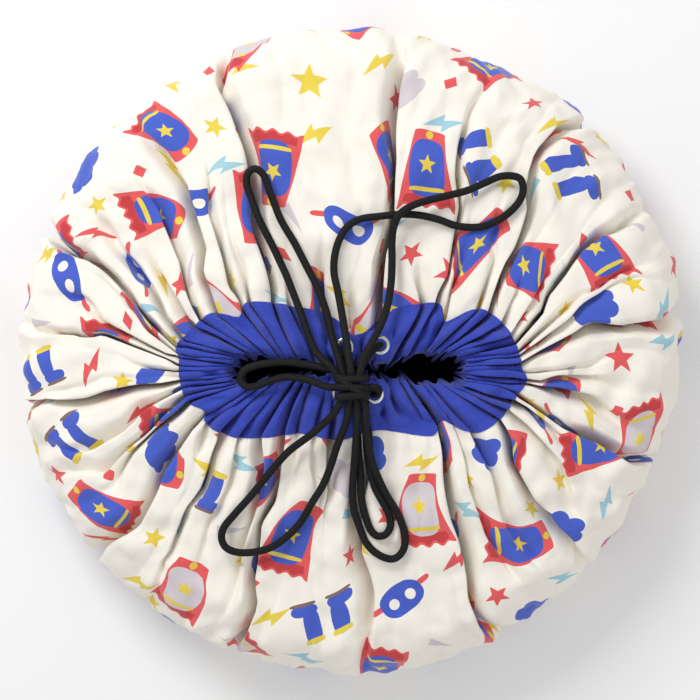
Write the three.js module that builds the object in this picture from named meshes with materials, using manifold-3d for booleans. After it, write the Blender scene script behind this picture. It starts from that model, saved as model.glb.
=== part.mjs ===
// A drawstring toy bag that opens out into a round play mat, shown lying on the floor, filled and drawn shut.
// The cloth disc rises from a flat base over a rounded side to a low top, where a sewn casing of six bands
// runs round the mouth. One cord runs in the casing, comes out through four metal eyelets, and is tied in a
// bow over the mouth, whose loops lie on the top. Millimetres, +Z up, origin at the middle of the base.
import * as THREE from "three";
import { mergeVertices } from "three/addons/utils/BufferGeometryUtils.js";
import Module from "manifold-3d";

const wasm = await Module();
wasm.setup();

// ---- Driving dimensions ----
const bagLength = 690; // across the widest part, along X
const bagWidth = 672; // across the widest part, along Y
const sideHeight = 128; // from the floor to the shoulder, where the side turns into the top
const seamHeight = 150; // upper face of the cloth where the bands are sewn on
const clothThickness = 4; // canvas with its small folds
const liningThickness = 2;
const layerGap = 0.5; // between one cloth solid and the next
const mouthCentreY = -20; // the mouth is a little nearer to the front
const mouthEndX = 103; // from the middle of the mouth to the centre of each rounded end
const mouthEndRadius = 42; // of the casing's middle line round each end
const mouthNarrowing = 12; // how far the long sides of the casing draw in at the middle
const bandWidth = 50;
const bandThickness = 15;
const bandWall = 2;
const cordDiameter = 7.6;
const eyeletBore = 11;
const eyeletBarrelWall = 1;
const eyeletFlangeWidth = 3.4;
const eyeletMetal = 1.1; // thickness of the flange and of the washer
const eyeletFit = 0.3; // gap round the barrel and under the flange
const eyeletInset = 7.4; // from the casing's middle line towards the mouth
const eyeletsSouthX = [-8, 24];
const eyeletsNorthX = [-6, 30];
const knotLength = 36;
const knotRadius = 14;
const knotX = 2;
const knotY = -37;
const knotLift = 1.3; // clear space between an eyelet's flange and the knot
const cordLift = 0.3; // between a cord and what it lies on or ends at
const seamClearance = 2; // between the cloth's edge and the casing
const seamSquareness = 0.5; // 1 would make the cloth's edge an oval, and less squares its corners
const boreLean = 0.4; // how far the cord leans to each side of an eyelet's middle

// ---- Worked out from them ----
const halfLength = bagLength / 2;
const halfWidth = bagWidth / 2;
const sideRadius = sideHeight / 2;
const bandTop = seamHeight + bandThickness - clothThickness;
const bandMiddle = bandTop - bandThickness / 2;
const channelHeight = bandThickness - 2 * bandWall;
const channelCordZ = bandMiddle - channelHeight / 2 + cordDiameter / 2 + cordLift;
const flangeTop = bandTop + eyeletFit + eyeletMetal;
const knotZ = flangeTop + knotLift + knotRadius;
const seamHalfX = mouthEndX + mouthEndRadius + bandWidth / 2;
const seamHalfY = mouthEndRadius + bandWidth / 2;

// ---- Materials ----
const material = (color, roughness, metalness = 0) =>
  new THREE.MeshStandardMaterial({ color, roughness, metalness });
const canvasCloth = material(0xf3ede0, 0.9);
const liningCloth = material(0x0c0d14, 0.95);
const bandCloth = material(0x2f45b8, 0.88);
const blackCord = material(0x1c1b1a, 0.8);
const chromeMetal = material(0xc9ccd0, 0.25, 1);

const bag = new THREE.Group();

const placesBetween = (low, high, steps) =>
  Array.from({ length: steps + 1 }, (_, i) => low + ((high - low) * i) / steps);

function addMesh(name, geometry, finish, position = [0, 0, 0]) {
  const mesh = new THREE.Mesh(geometry, finish);
  mesh.name = name;
  mesh.position.set(...position);
  bag.add(mesh);
  return mesh;
}

// ---- Boolean helper ----
function toManifold(geometry) {
  const bare = geometry.clone();
  bare.deleteAttribute("normal");
  bare.deleteAttribute("uv");
  const merged = mergeVertices(bare, 1e-3);
  return new wasm.Manifold(
    new wasm.Mesh({
      numProp: 3,
      vertProperties: new Float32Array(merged.attributes.position.array),
      triVerts: new Uint32Array(merged.index.array),
    }),
  );
}

function fromManifold(solid) {
  const mesh = solid.getMesh();
  const geometry = new THREE.BufferGeometry();
  geometry.setAttribute("position", new THREE.BufferAttribute(mesh.vertProperties, 3));
  geometry.setIndex(new THREE.BufferAttribute(mesh.triVerts, 1));
  return geometry;
}

// ---- Cloth surface ----
// A point on the cloth, at angle u round the bag and place s up it. s runs from 0 at the middle of the base to 1
// at its edge, 2 at the shoulder and 3 at the casing's seam. depth is how far inside the outer face it lies.
function clothPoint(u, s, depth) {
  const c = Math.cos(u);
  const n = Math.sin(u);
  const flatX = halfLength - sideRadius;
  const flatY = halfWidth - sideRadius;
  if (s <= 1) return new THREE.Vector3(flatX * s * c, flatY * s * n, depth);
  if (s <= 2) {
    const turn = Math.PI * (s - 1);
    const out = (sideRadius - depth) * Math.sin(turn);
    return new THREE.Vector3(
      (flatX + out) * c,
      (flatY + out) * n,
      sideRadius - (sideRadius - depth) * Math.cos(turn),
    );
  }
  const t = s - 2;
  const seam = seamPoint(u);
  const rise = (seamHeight - sideHeight) * (1 - (1 - t) ** 1.5);
  return new THREE.Vector3(
    flatX * c * (1 - t) + seam.x * t,
    flatY * n * (1 - t) + seam.y * t,
    sideHeight + rise - depth,
  );
}

// The outline of the hole in the cloth that the casing is sewn into, a little outside the casing.
function seamPoint(u) {
  const squared = (v) => Math.sign(v) * Math.abs(v) ** seamSquareness;
  const x = seamGrowth * (seamHalfX + seamClearance) * squared(Math.cos(u));
  const y = seamGrowth * (seamHalfY + seamClearance) * squared(Math.sin(u));
  return new THREE.Vector2(x, mouthCentreY + y);
}

// How much larger that outline has to be, to clear the casing's round ends at the height of the cloth.
function clearingGrowth() {
  const power = 2 / seamSquareness;
  const edge = Math.sqrt((bandThickness / 2) ** 2 - (seamHeight - bandMiddle) ** 2);
  const reach = mouthEndRadius + (bandWidth - bandThickness) / 2 + edge + layerGap / 2;
  const sizes = placesBetween(0, Math.PI / 2, 18).map((angle) => {
    const x = (mouthEndX + reach * Math.cos(angle)) / (seamHalfX + seamClearance);
    const y = (reach * Math.sin(angle)) / (seamHalfY + seamClearance);
    return (x ** power + y ** power) ** (1 / power);
  });
  return Math.max(1, ...sizes);
}

const seamGrowth = clearingGrowth();

// A closed solid between two depths of the cloth, over a range of u and of s. A full turn has no end walls,
// and a start at s = 0 closes at the middle of the base.
function clothSolid({ from, to, uSteps, places, outer, inner }) {
  const fullTurn = Math.abs(to - from - 2 * Math.PI) < 1e-9;
  const columns = fullTurn ? uSteps : uSteps + 1;
  const section = [
    ...places.map((s) => [s, outer]),
    ...places.map((s) => [s, inner]).reverse(),
  ];
  const points = [];
  const faces = [];
  const index = (i, j) => (i % columns) * section.length + (j % section.length);
  for (let i = 0; i < columns; i++) {
    const u = from + ((to - from) * i) / uSteps;
    for (const [s, depth] of section) points.push(clothPoint(u, s, depth));
  }
  for (let i = 0; i < uSteps; i++) {
    for (let j = 0; j < section.length; j++) {
      const across = index(i + 1, j + 1);
      faces.push([index(i, j), index(i + 1, j), across]);
      faces.push([index(i, j), across, index(i, j + 1)]);
    }
  }
  if (!fullTurn) {
    for (let j = 1; j < places.length; j++) {
      const k = section.length - 1 - j;
      const start = [index(0, j - 1), index(0, j), index(0, k), index(0, k + 1)];
      const end = start.map((v) => v + uSteps * section.length);
      faces.push([start[0], start[1], start[2]], [start[0], start[2], start[3]]);
      faces.push([end[0], end[2], end[1]], [end[0], end[3], end[2]]);
    }
  }
  return solidFromFaces(points, faces);
}

// Joins the faces at the points they share. A face that has shrunk to a line at the middle of the base is left out.
function solidFromFaces(points, faces) {
  const loose = new THREE.BufferGeometry();
  const numbers = points.flatMap((p) => p.toArray());
  loose.setAttribute("position", new THREE.Float32BufferAttribute(numbers, 3));
  loose.setIndex(faces.flat());
  const geometry = mergeVertices(loose, 1e-4);
  const corners = [...geometry.index.array];
  const kept = [];
  for (let i = 0; i < corners.length; i += 3) {
    const face = corners.slice(i, i + 3);
    if (new Set(face).size === 3) kept.push(...face);
  }
  geometry.setIndex(kept);
  return geometry;
}

// The side is made in eight stretches, named by the way that they face, from +X round to the left.
const compassSides = [
  "east", "northeast", "north", "northwest", "west", "southwest", "south", "southeast",
];

function addCloth() {
  const turn = 2 * Math.PI;
  const round = 48;
  const edgeGap = layerGap / sideRadius; // a gap along the cloth, as a share of one step of s
  const sidePlaces = placesBetween(1 + edgeGap / 3, 2 - edgeGap / 3, 8);
  const topPlaces = placesBetween(2 + edgeGap / 6, 3, 4);
  addMesh(
    "canvas_base",
    clothSolid({
      from: 0,
      to: turn,
      uSteps: round,
      places: [0, 1],
      outer: 0,
      inner: clothThickness,
    }),
    canvasCloth,
  );
  compassSides.forEach((name, i) => {
    const start = ((i - 0.5) * turn) / compassSides.length;
    const split = layerGap / (2 * (halfWidth - sideRadius));
    addMesh(
      `canvas_side_${name}`,
      clothSolid({
        from: start + split,
        to: start + turn / compassSides.length - split,
        uSteps: round / compassSides.length,
        places: sidePlaces,
        outer: 0,
        inner: clothThickness,
      }),
      canvasCloth,
    );
  });
  const names = ["north", "west", "south", "east"];
  names.forEach((name, i) => {
    const start = Math.PI / 4 + (i * Math.PI) / 2;
    const split = layerGap / mouthEndX;
    addMesh(
      `canvas_top_${name}`,
      clothSolid({
        from: start + split,
        to: start + Math.PI / 2 - split,
        uSteps: round / 4,
        places: topPlaces,
        outer: 0,
        inner: clothThickness,
      }),
      canvasCloth,
    );
  });
  addMesh(
    "lining",
    clothSolid({
      from: 0,
      to: turn,
      uSteps: round,
      places: [0, 1, ...sidePlaces.slice(1, -1), 2, ...topPlaces.slice(1)],
      outer: clothThickness + layerGap,
      inner: clothThickness + layerGap + liningThickness,
    }),
    liningCloth,
  );
}

// ---- Casing round the mouth ----
// The casing's middle line. The two long sides draw in at the middle, and the ends are half circles.
class LongSide extends THREE.Curve {
  constructor(side) {
    super();
    this.side = side;
  }
  getPoint(t, target = new THREE.Vector3()) {
    const x = this.side * mouthEndX * (1 - 2 * t);
    return target.set(x, mouthCentreY + this.side * longSideOffset(x), bandMiddle);
  }
}

function longSideOffset(x) {
  return mouthEndRadius - (mouthNarrowing * (1 + Math.cos((Math.PI * x) / mouthEndX))) / 2;
}

// Half of a round end, from its tip to the long side that lies towards way: 1 for north, -1 for south.
class HalfEnd extends THREE.Curve {
  constructor(side, way) {
    super();
    this.side = side;
    this.way = way;
  }
  getPoint(t, target = new THREE.Vector3()) {
    const angle = (Math.PI / 2) * t;
    return target.set(
      this.side * (mouthEndX + mouthEndRadius * Math.cos(angle)),
      mouthCentreY + this.way * mouthEndRadius * Math.sin(angle),
      bandMiddle,
    );
  }
}

// A flat-topped oval, for the casing and for the space inside it.
function ovalOutline(width, thickness, path) {
  const r = thickness / 2;
  const straight = width / 2 - r;
  path.absarc(0, straight, r, 0, Math.PI, false);
  path.absarc(0, -straight, r, Math.PI, 2 * Math.PI, false);
  path.closePath();
  return path;
}

function bandGeometry(curve, steps) {
  const shape = ovalOutline(bandWidth, bandThickness, new THREE.Shape());
  shape.holes.push(
    ovalOutline(bandWidth - 2 * bandWall, channelHeight, new THREE.Path()),
  );
  return new THREE.ExtrudeGeometry(shape, {
    steps,
    curveSegments: 4,
    extrudePath: new Trimmed(curve, layerGap),
  });
}

// A curve without its last few tenths of a millimetre at each end, so that the next piece stays clear of it.
class Trimmed extends THREE.Curve {
  constructor(curve, cut) {
    super();
    this.curve = curve;
    this.share = cut / curve.getLength();
  }
  getPoint(t, target = new THREE.Vector3()) {
    return this.curve.getPointAt(this.share + t * (1 - 2 * this.share), target);
  }
}

// The four eyelets, on the casing's upper face between its middle line and the mouth.
const eyelets = [
  ...eyeletsNorthX.map((x, i) => ({ side: 1, x, name: `north_${["left", "right"][i]}` })),
  ...eyeletsSouthX.map((x, i) => ({ side: -1, x, name: `south_${["left", "right"][i]}` })),
].map((e) => ({
  ...e,
  y: mouthCentreY + e.side * (longSideOffset(e.x) - eyeletInset),
}));

function addBands() {
  const barrelRadius = eyeletBore / 2 + eyeletBarrelWall;
  for (const [name, side] of [["north", 1], ["south", -1]]) {
    let solid = toManifold(bandGeometry(new LongSide(side), 14));
    for (const e of eyelets.filter((one) => one.side === side)) {
      const cutter = new THREE.CylinderGeometry(
        barrelRadius + eyeletFit,
        barrelRadius + eyeletFit,
        bandThickness,
        24,
      );
      cutter.rotateX(Math.PI / 2);
      cutter.translate(e.x, e.y, bandMiddle + bandThickness / 2);
      solid = solid.subtract(toManifold(cutter));
    }
    addMesh(`band_${name}`, fromManifold(solid), bandCloth);
  }
  for (const [end, side] of [["east", 1], ["west", -1]]) {
    addMesh(`band_${end}_north`, bandGeometry(new HalfEnd(side, 1), 6), bandCloth);
    addMesh(`band_${end}_south`, bandGeometry(new HalfEnd(side, -1), 6), bandCloth);
  }
}

function addEyelets() {
  const bore = eyeletBore / 2;
  const barrel = bore + eyeletBarrelWall;
  const flange = barrel + eyeletFlangeWidth;
  const washerTop = -bandWall - eyeletFit;
  const washerBottom = washerTop - eyeletMetal;
  const rise = eyeletFit + eyeletMetal;
  const eyeletProfile = [
    [bore, washerBottom],
    [barrel, washerBottom],
    [barrel, eyeletFit],
    [flange, eyeletFit],
    [flange - eyeletMetal / 2, rise],
    [bore + eyeletMetal / 2, rise],
    [bore, eyeletFit],
    [bore, washerBottom],
  ];
  const washerProfile = [
    [barrel + eyeletFit, washerBottom],
    [flange, washerBottom],
    [flange, washerTop],
    [barrel + eyeletFit, washerTop],
    [barrel + eyeletFit, washerBottom],
  ];
  const turned = (profile) => {
    const geometry = new THREE.LatheGeometry(
      profile.map(([r, z]) => new THREE.Vector2(r, z)),
      20,
    );
    return geometry.rotateX(Math.PI / 2);
  };
  for (const e of eyelets) {
    addMesh(`eyelet_${e.name}`, turned(eyeletProfile), chromeMetal, [e.x, e.y, bandTop]);
    addMesh(`eyelet_washer_${e.name}`, turned(washerProfile), chromeMetal, [e.x, e.y, bandTop]);
  }
}

// ---- Cord ----
function cordGeometry(curve, steps, sides = 8) {
  const section = new THREE.Shape();
  for (let i = 0; i < sides; i++) {
    const a = (2 * Math.PI * i) / sides;
    const x = (cordDiameter / 2) * Math.cos(a);
    const y = (cordDiameter / 2) * Math.sin(a);
    if (i) section.lineTo(x, y);
    else section.moveTo(x, y);
  }
  section.closePath();
  return new THREE.ExtrudeGeometry(section, { steps, extrudePath: curve });
}

// A loop of the bow, with round ends, so that it turns in place where it leaves the knot.
function loopGeometry(points) {
  const curve = smooth(points);
  const steps = Math.round(curve.getLength() / (2 * cordDiameter));
  let solid = toManifold(cordGeometry(curve, steps));
  for (const end of [curve.getPoint(0), curve.getPoint(1)]) {
    const ball = new THREE.SphereGeometry(cordDiameter / 2, 10, 8);
    ball.translate(end.x, end.y, end.z);
    solid = solid.add(toManifold(ball));
  }
  return fromManifold(solid);
}

const smooth = (points) =>
  new THREE.CatmullRomCurve3(points.map((p) => new THREE.Vector3(...p)));

// The casing cord's route in one half of the casing: down through an eyelet, round an end of the mouth on the
// casing's inner side, up through the next eyelet, and a short lead from each eyelet to the knot.
function addCasingCords() {
  const [northLeft, northRight, southLeft, southRight] = eyelets;
  const halves = [
    { name: "east", side: 1, north: northRight, south: southRight },
    { name: "west", side: -1, north: northLeft, south: southLeft },
  ];
  for (const { name, side, north, south } of halves) {
    const points = [
      ...knotLeads[`${name}_north`],
      ...throughEyelet(north, side),
      ...insideCasing(north, south, side),
      ...throughEyelet(south, side).reverse(),
      ...[...knotLeads[`${name}_south`]].reverse(),
    ];
    const curve = smooth(points);
    const steps = Math.round((1.7 * curve.getLength()) / cordDiameter);
    addMesh(`casing_cord_${name}`, cordGeometry(curve, steps), blackCord);
  }
}

// From above an eyelet down into the channel, leaning one way in the bore and then turning level.
function throughEyelet(eyelet, side) {
  const ceiling = bandTop - bandWall;
  const drop = ceiling - channelCordZ;
  const at = (outward, z) => [eyelet.x + side * outward, eyelet.y, z];
  return [
    at(-boreLean, flangeTop),
    at(0, ceiling + bandWall / 4),
    at(boreLean, ceiling - bandWall / 2),
    at(boreLean + 0.3 * drop, channelCordZ + 0.35 * drop),
    at(boreLean + 0.9 * drop, channelCordZ + 0.07 * drop),
  ];
}

function insideCasing(north, south, side) {
  const points = [];
  const lead = 2.4 * cordDiameter;
  const radius = mouthEndRadius - eyeletInset;
  const straight = (eyelet, fromX, toX) => {
    const thirds = 3;
    for (let i = 0; i <= thirds; i++) {
      const x = fromX + ((toX - fromX) * i) / thirds;
      const y = mouthCentreY + eyelet.side * (longSideOffset(x) - eyeletInset);
      points.push([x, y, channelCordZ]);
    }
  };
  const cornerX = side * (mouthEndX - 2);
  straight(north, north.x + side * lead, cornerX);
  for (let i = 1; i < 6; i++) {
    const angle = Math.PI * (0.5 - i / 6);
    points.push([
      side * (mouthEndX + radius * Math.cos(angle)),
      mouthCentreY + radius * Math.sin(angle),
      channelCordZ,
    ]);
  }
  straight(south, cornerX, south.x + side * lead);
  return points;
}

// Where each lead runs between the knot and its eyelet.
const knotLeads = {
  east_north: [
    [10, -23.8, 170.8], [10, -20.6, 169.2], [13.5, -13, 167.3], [20.5, -2.5, 168.6], [27.2, 3.3, 168],
  ],
  west_north: [
    [-4, -23.8, 170.8], [-4, -20.4, 169.1], [-4, -11, 167.2], [-4.4, -4, 167.6], [-5.2, 1.2, 166.4],
  ],
  east_south: [
    [20.5, -37, 177.7], [24.5, -37, 177.5], [28.5, -38.8, 175], [28.4, -42, 171], [25.4, -43.8, 167],
  ],
  west_south: [],
};

// The knot is a barrel lying along X with rounded ends.
function addKnot() {
  const half = knotLength / 2;
  const endDepth = knotRadius * 0.6;
  const steps = 4;
  const rounding = (i) => {
    const a = (Math.PI / 2) * (i / steps);
    return [knotRadius * Math.sin(a), half - endDepth * (1 - Math.cos(a))];
  };
  const profile = [new THREE.Vector2(0, -half)];
  for (let i = 1; i <= steps; i++) {
    const [r, x] = rounding(i);
    profile.push(new THREE.Vector2(r, -x));
  }
  for (let i = steps; i >= 1; i--) profile.push(new THREE.Vector2(...rounding(i)));
  profile.push(new THREE.Vector2(0, half));
  const geometry = new THREE.LatheGeometry(profile, 20);
  geometry.rotateZ(-Math.PI / 2);
  addMesh("drawcord_knot", geometry, blackCord, [knotX, knotY, knotZ]);
}

// The loops of the bow. Each route leaves the knot, lies on the cloth and comes back to the knot.
const loopRoutes = {
  loop_northwest: [
    [-17, -18.8, 178], [-24, -12, 176.5], [-33, -3, 172.5], [-41, 14, 169], [-49, 37, 166.2],
    [-56, 55, 161.5], [-63, 73, 157], [-76, 101, 154], [-90, 129, 152], [-99, 152, 150.5],
    [-104, 168, 149.5], [-102, 178, 149], [-95, 182, 149], [-87, 176, 149.5], [-80, 158, 150.5],
    [-69, 130, 152], [-56, 108, 154], [-44, 85, 157], [-32, 61, 160.5], [-23, 36, 165.5],
    [-17, 10, 171.5], [-12, -6, 176], [-8, -18.8, 178],
  ],
  loop_northeast: [
    [1, -21.1, 186.5], [-1, -8, 185.5], [-4, 12, 181.5], [-8, 36, 175.5], [-12, 58, 168.5],
    [-16, 78, 162.5], [-15, 96, 158.5], [-10, 112, 156], [-2, 124, 154.5], [10, 131, 153.5],
    [30, 134, 152.5], [52, 136, 152.5], [70, 135, 152.5], [88, 131, 152], [105, 125, 151.5],
    [122, 123, 150.5], [137, 125, 149.5], [150, 131, 148.5], [162, 140, 147.5], [171, 151, 147],
    [174, 162, 146.5], [171, 172, 146], [162, 175, 146.5], [150, 174, 147.5], [136, 168, 149.5],
    [118, 160, 152.5], [100, 155, 156.5], [80, 150, 160.5], [62, 144, 162.5], [50, 136, 162.5],
    [44, 124, 160.5], [42, 109, 158.5], [42, 88, 159.5], [41, 67, 163], [38, 47, 167],
    [32, 28, 173], [22, 8, 180.5], [13, -8, 185], [10, -21.1, 186.5],
  ],
  loop_southwest: [
    [-11, -55.2, 178], [-16, -63, 176.5], [-25, -72, 174], [-40, -85, 169.5], [-62, -102, 163],
    [-83, -126, 156.5], [-100, -147, 153], [-116, -165, 150.5], [-127, -179, 148.5],
    [-129, -189, 147.5], [-125, -198, 147], [-114, -203, 147], [-97, -203, 147.5], [-79, -198, 148],
    [-63, -187, 149], [-49, -172, 150.5], [-38, -153, 153], [-27, -135, 156], [-19, -115, 160],
    [-13, -96, 165.5], [-6, -78, 172], [-2.5, -66, 176.5], [-1.5, -55.2, 178],
  ],
  loop_south_outer: [
    [15.2, -55.2, 178], [15.8, -74, 176], [18, -94, 169.5], [24, -117, 162.5], [35, -142, 154.5],
    [47, -163, 149.5], [54, -181, 147.5], [55, -196, 147], [50, -206, 146.5], [42, -210, 146.5],
    [28.5, -205.5, 147], [16.5, -194, 147.5], [9, -176, 148.5], [4, -161, 149.5], [2.5, -145, 152],
    [3, -128, 157], [4.5, -109, 164.5], [6, -88, 171.5], [6.9, -72, 176.5], [6.9, -55.2, 178],
  ],
  loop_south_inner: [
    [14.7, -53.3, 169.5], [15, -62, 168.5], [15.4, -74, 167], [16.5, -94, 161], [19.5, -117, 154.5],
    [25, -138, 152], [33, -153, 150.5], [39.5, -166, 149], [40.5, -177, 148], [36, -185, 147.5],
    [28.5, -187, 147.5], [22, -182.5, 148], [17.5, -173, 149], [13.5, -159, 150.5], [11, -144, 152],
    [10.6, -128, 153.5], [9, -109, 156.5], [7.6, -88, 162.5], [6.4, -72, 167.5], [6.2, -53.3, 169.5],
  ],
  loop_west: [
    [-20.6, -37, 177.7], [-28, -35, 175.5], [-38, -31, 171.5], [-50, -28, 168.5], [-66, -27, 166.5],
    [-80, -31, 165.8], [-94, -36, 165.8], [-103, -36.5, 165.8], [-109, -30, 165.8],
    [-106, -21, 165.8], [-96, -16, 165.8], [-80, -13, 165.8], [-64, -12, 165.8], [-48, -14, 166.2],
    [-34, -16, 167], [-23, -18.5, 168.5], [-13, -20.5, 169.5],
  ],
};

function addLoops() {
  for (const [name, points] of Object.entries(loopRoutes))
    addMesh(name, loopGeometry(points), blackCord);
}

addCloth();
addBands();
addEyelets();
addCasingCords();
addKnot();
addLoops();

export default bag;
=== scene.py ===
"""A round drawstring toy bag, filled and drawn shut, which opens out into a play mat.

The cloth is one flat disc, gathered into a flat base, a rounded side and a low pleated top. A blue casing
runs round its rim. One black cord runs in the casing, comes out through four eyelets, and is tied over the
mouth in a bow of long loops. Sizes are metres in the frame of the CAD model, unless a comment says otherwise,
with +Z up and the floor at z = 0.
"""

import logging
import math
from dataclasses import dataclass, field
from enum import Enum
from typing import Iterable, Sequence

import bpy
import numpy as np
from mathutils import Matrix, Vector


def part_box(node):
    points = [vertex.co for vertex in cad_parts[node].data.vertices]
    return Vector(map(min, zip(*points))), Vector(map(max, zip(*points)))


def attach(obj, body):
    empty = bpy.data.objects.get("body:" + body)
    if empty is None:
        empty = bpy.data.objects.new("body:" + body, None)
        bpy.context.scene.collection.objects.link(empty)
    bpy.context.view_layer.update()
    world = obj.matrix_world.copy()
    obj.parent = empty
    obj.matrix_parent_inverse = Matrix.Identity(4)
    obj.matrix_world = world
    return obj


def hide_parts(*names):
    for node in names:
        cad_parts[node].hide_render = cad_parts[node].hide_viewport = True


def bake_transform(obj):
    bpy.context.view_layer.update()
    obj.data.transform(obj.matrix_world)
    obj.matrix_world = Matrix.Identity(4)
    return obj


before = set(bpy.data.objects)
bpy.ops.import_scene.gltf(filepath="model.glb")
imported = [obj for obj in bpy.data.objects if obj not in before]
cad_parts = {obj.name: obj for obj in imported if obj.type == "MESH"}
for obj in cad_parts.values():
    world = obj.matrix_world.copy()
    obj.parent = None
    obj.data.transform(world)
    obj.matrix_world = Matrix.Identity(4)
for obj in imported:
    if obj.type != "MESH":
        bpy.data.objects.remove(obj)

logging.basicConfig(level=logging.INFO, format="%(message)s")
log = logging.getLogger("bag")

Point = Sequence[float]
Socket = bpy.types.NodeSocket
TURN = 2 * math.pi
THREAD = 0.0008  # the cotton's thread
CORD_RADIUS = 0.0038


class Body(str, Enum):
    """The rigid bodies that pieces ride on."""

    BAG = "bag"
    NECK = "neck"
    LOOP_NORTHWEST = "loop_northwest"
    LOOP_NORTHEAST = "loop_northeast"
    LOOP_SOUTHWEST = "loop_southwest"
    LOOP_SOUTH = "loop_south"


# ---------------------------------------------------------------- shader building


class Signal:
    """A number that varies over a surface, as a shader socket with Python's operators."""

    def __init__(self, tree: "ShaderTree", socket: Socket) -> None:
        """Wraps one output socket of tree."""
        self.tree = tree
        self.socket = socket

    def _maths(self, operation: str, *others: "Signal | float") -> "Signal":
        """Adds one Math node whose first input is this value."""
        return self.tree.maths(operation, self, *others)

    def __add__(self, other: "Signal | float") -> "Signal":
        """self + other."""
        return self._maths("ADD", other)

    __radd__ = __add__

    def __sub__(self, other: "Signal | float") -> "Signal":
        """self - other."""
        return self._maths("SUBTRACT", other)

    def __rsub__(self, other: "Signal | float") -> "Signal":
        """other - self."""
        return self.tree.maths("SUBTRACT", other, self)

    def __mul__(self, other: "Signal | float") -> "Signal":
        """self * other."""
        return self._maths("MULTIPLY", other)

    __rmul__ = __mul__

    def __pow__(self, other: float) -> "Signal":
        """self to a power."""
        return self._maths("POWER", other)

    def __abs__(self) -> "Signal":
        """The size of self."""
        return self._maths("ABSOLUTE")

    def __mod__(self, other: float) -> "Signal":
        """self modulo other, never negative."""
        return self._maths("FLOORED_MODULO", other)

    def __lt__(self, other: "Signal | float") -> "Signal":
        """1 where self is less than other, and 0 elsewhere."""
        return self._maths("LESS_THAN", other)

    def __gt__(self, other: "Signal | float") -> "Signal":
        """1 where self is greater than other, and 0 elsewhere."""
        return self._maths("GREATER_THAN", other)

    def high(self, other: "Signal | float") -> "Signal":
        """The larger of the two."""
        return self._maths("MAXIMUM", other)

    def floor(self) -> "Signal":
        """The whole number at or below self."""
        return self._maths("FLOOR")


class ShaderTree:
    """One material's nodes."""

    def __init__(self, name: str) -> None:
        """Starts a material with a lone Principled shader."""
        self.material = bpy.data.materials.new(name)
        self.material.use_nodes = True
        self.tree = self.material.node_tree
        self.tree.nodes.clear()
        self.output = self.tree.nodes.new("ShaderNodeOutputMaterial")
        self.surface = self.tree.nodes.new("ShaderNodeBsdfPrincipled")
        self.tree.links.new(self.surface.outputs[0], self.output.inputs["Surface"])

    def node(self, kind: str, settings: dict | None = None, inputs: dict | None = None) -> bpy.types.Node:
        """Adds any node.

        Args:
            kind: the node's type, without "ShaderNode".
            settings: attributes that are set first.
            inputs: values or links by socket name or number.

        Returns:
            The new node.
        """
        made = self.tree.nodes.new("ShaderNode" + kind)
        for name, value in (settings or {}).items():
            setattr(made, name, value)
        for key, value in (inputs or {}).items():
            self.feed(made.inputs[key], value)
        return made

    def feed(self, socket: Socket, value: object) -> None:
        """Sets a socket, or links it to a Signal or another socket."""
        if isinstance(value, Signal):
            self.tree.links.new(value.socket, socket)
        elif isinstance(value, Socket):
            self.tree.links.new(value, socket)
        else:
            socket.default_value = value

    def constants(self, values: dict[str, object]) -> None:
        """Sets what is the same all over the surface on the shader's own sockets."""
        for name, value in values.items():
            self.surface.inputs[name].default_value = value

    def maths(self, operation: str, *values: "Signal | float") -> Signal:
        """Adds one Math node on these values and returns its result."""
        made = self.node("Math", {"operation": operation}, dict(enumerate(values)))
        return Signal(self, made.outputs[0])

    def mix(self, share: "Signal | float", below: object, above: object) -> Socket:
        """Lays one colour over another by share, and returns the colour's socket."""
        made = self.node("Mix", {"data_type": "RGBA"}, {0: share, 6: below, 7: above})
        return made.outputs[2]

    def split(self, vector: Socket) -> tuple[Signal, Signal, Signal]:
        """The three parts of a vector."""
        made = self.node("SeparateXYZ", inputs={0: vector})
        return tuple(Signal(self, out) for out in made.outputs)

    def join(self, x: "Signal | float", y: "Signal | float", z: "Signal | float") -> Socket:
        """A vector of three parts."""
        return self.node("CombineXYZ", inputs={0: x, 1: y, 2: z}).outputs[0]

    def chance(self, x: "Signal | float", y: "Signal | float", seed: float) -> tuple[Signal, Signal, Signal]:
        """Three random numbers from 0 to 1 for each whole x and y."""
        made = self.node("TexWhiteNoise", {"noise_dimensions": "3D"}, {"Vector": self.join(x, y, seed)})
        return self.split(made.outputs["Color"])


def linear(red: float, green: float, blue: float) -> tuple[float, float, float, float]:
    """Turns a screen colour from 0 to 255 into the shader's own scale."""
    parts = [c / 255 for c in (red, green, blue)]
    return (*[c / 12.92 if c <= 0.04045 else ((c + 0.055) / 1.055) ** 2.4 for c in parts], 1.0)


# ---------------------------------------------------------------- finishes


@dataclass(frozen=True)
class Inks:
    """The print's colours."""

    cream: tuple = linear(246, 241, 231)
    blue: tuple = linear(66, 92, 196)
    red: tuple = linear(228, 88, 90)
    yellow: tuple = linear(232, 206, 74)
    sky: tuple = linear(160, 204, 218)
    lilac: tuple = linear(212, 203, 208)
    brown: tuple = linear(132, 104, 92)


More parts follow.
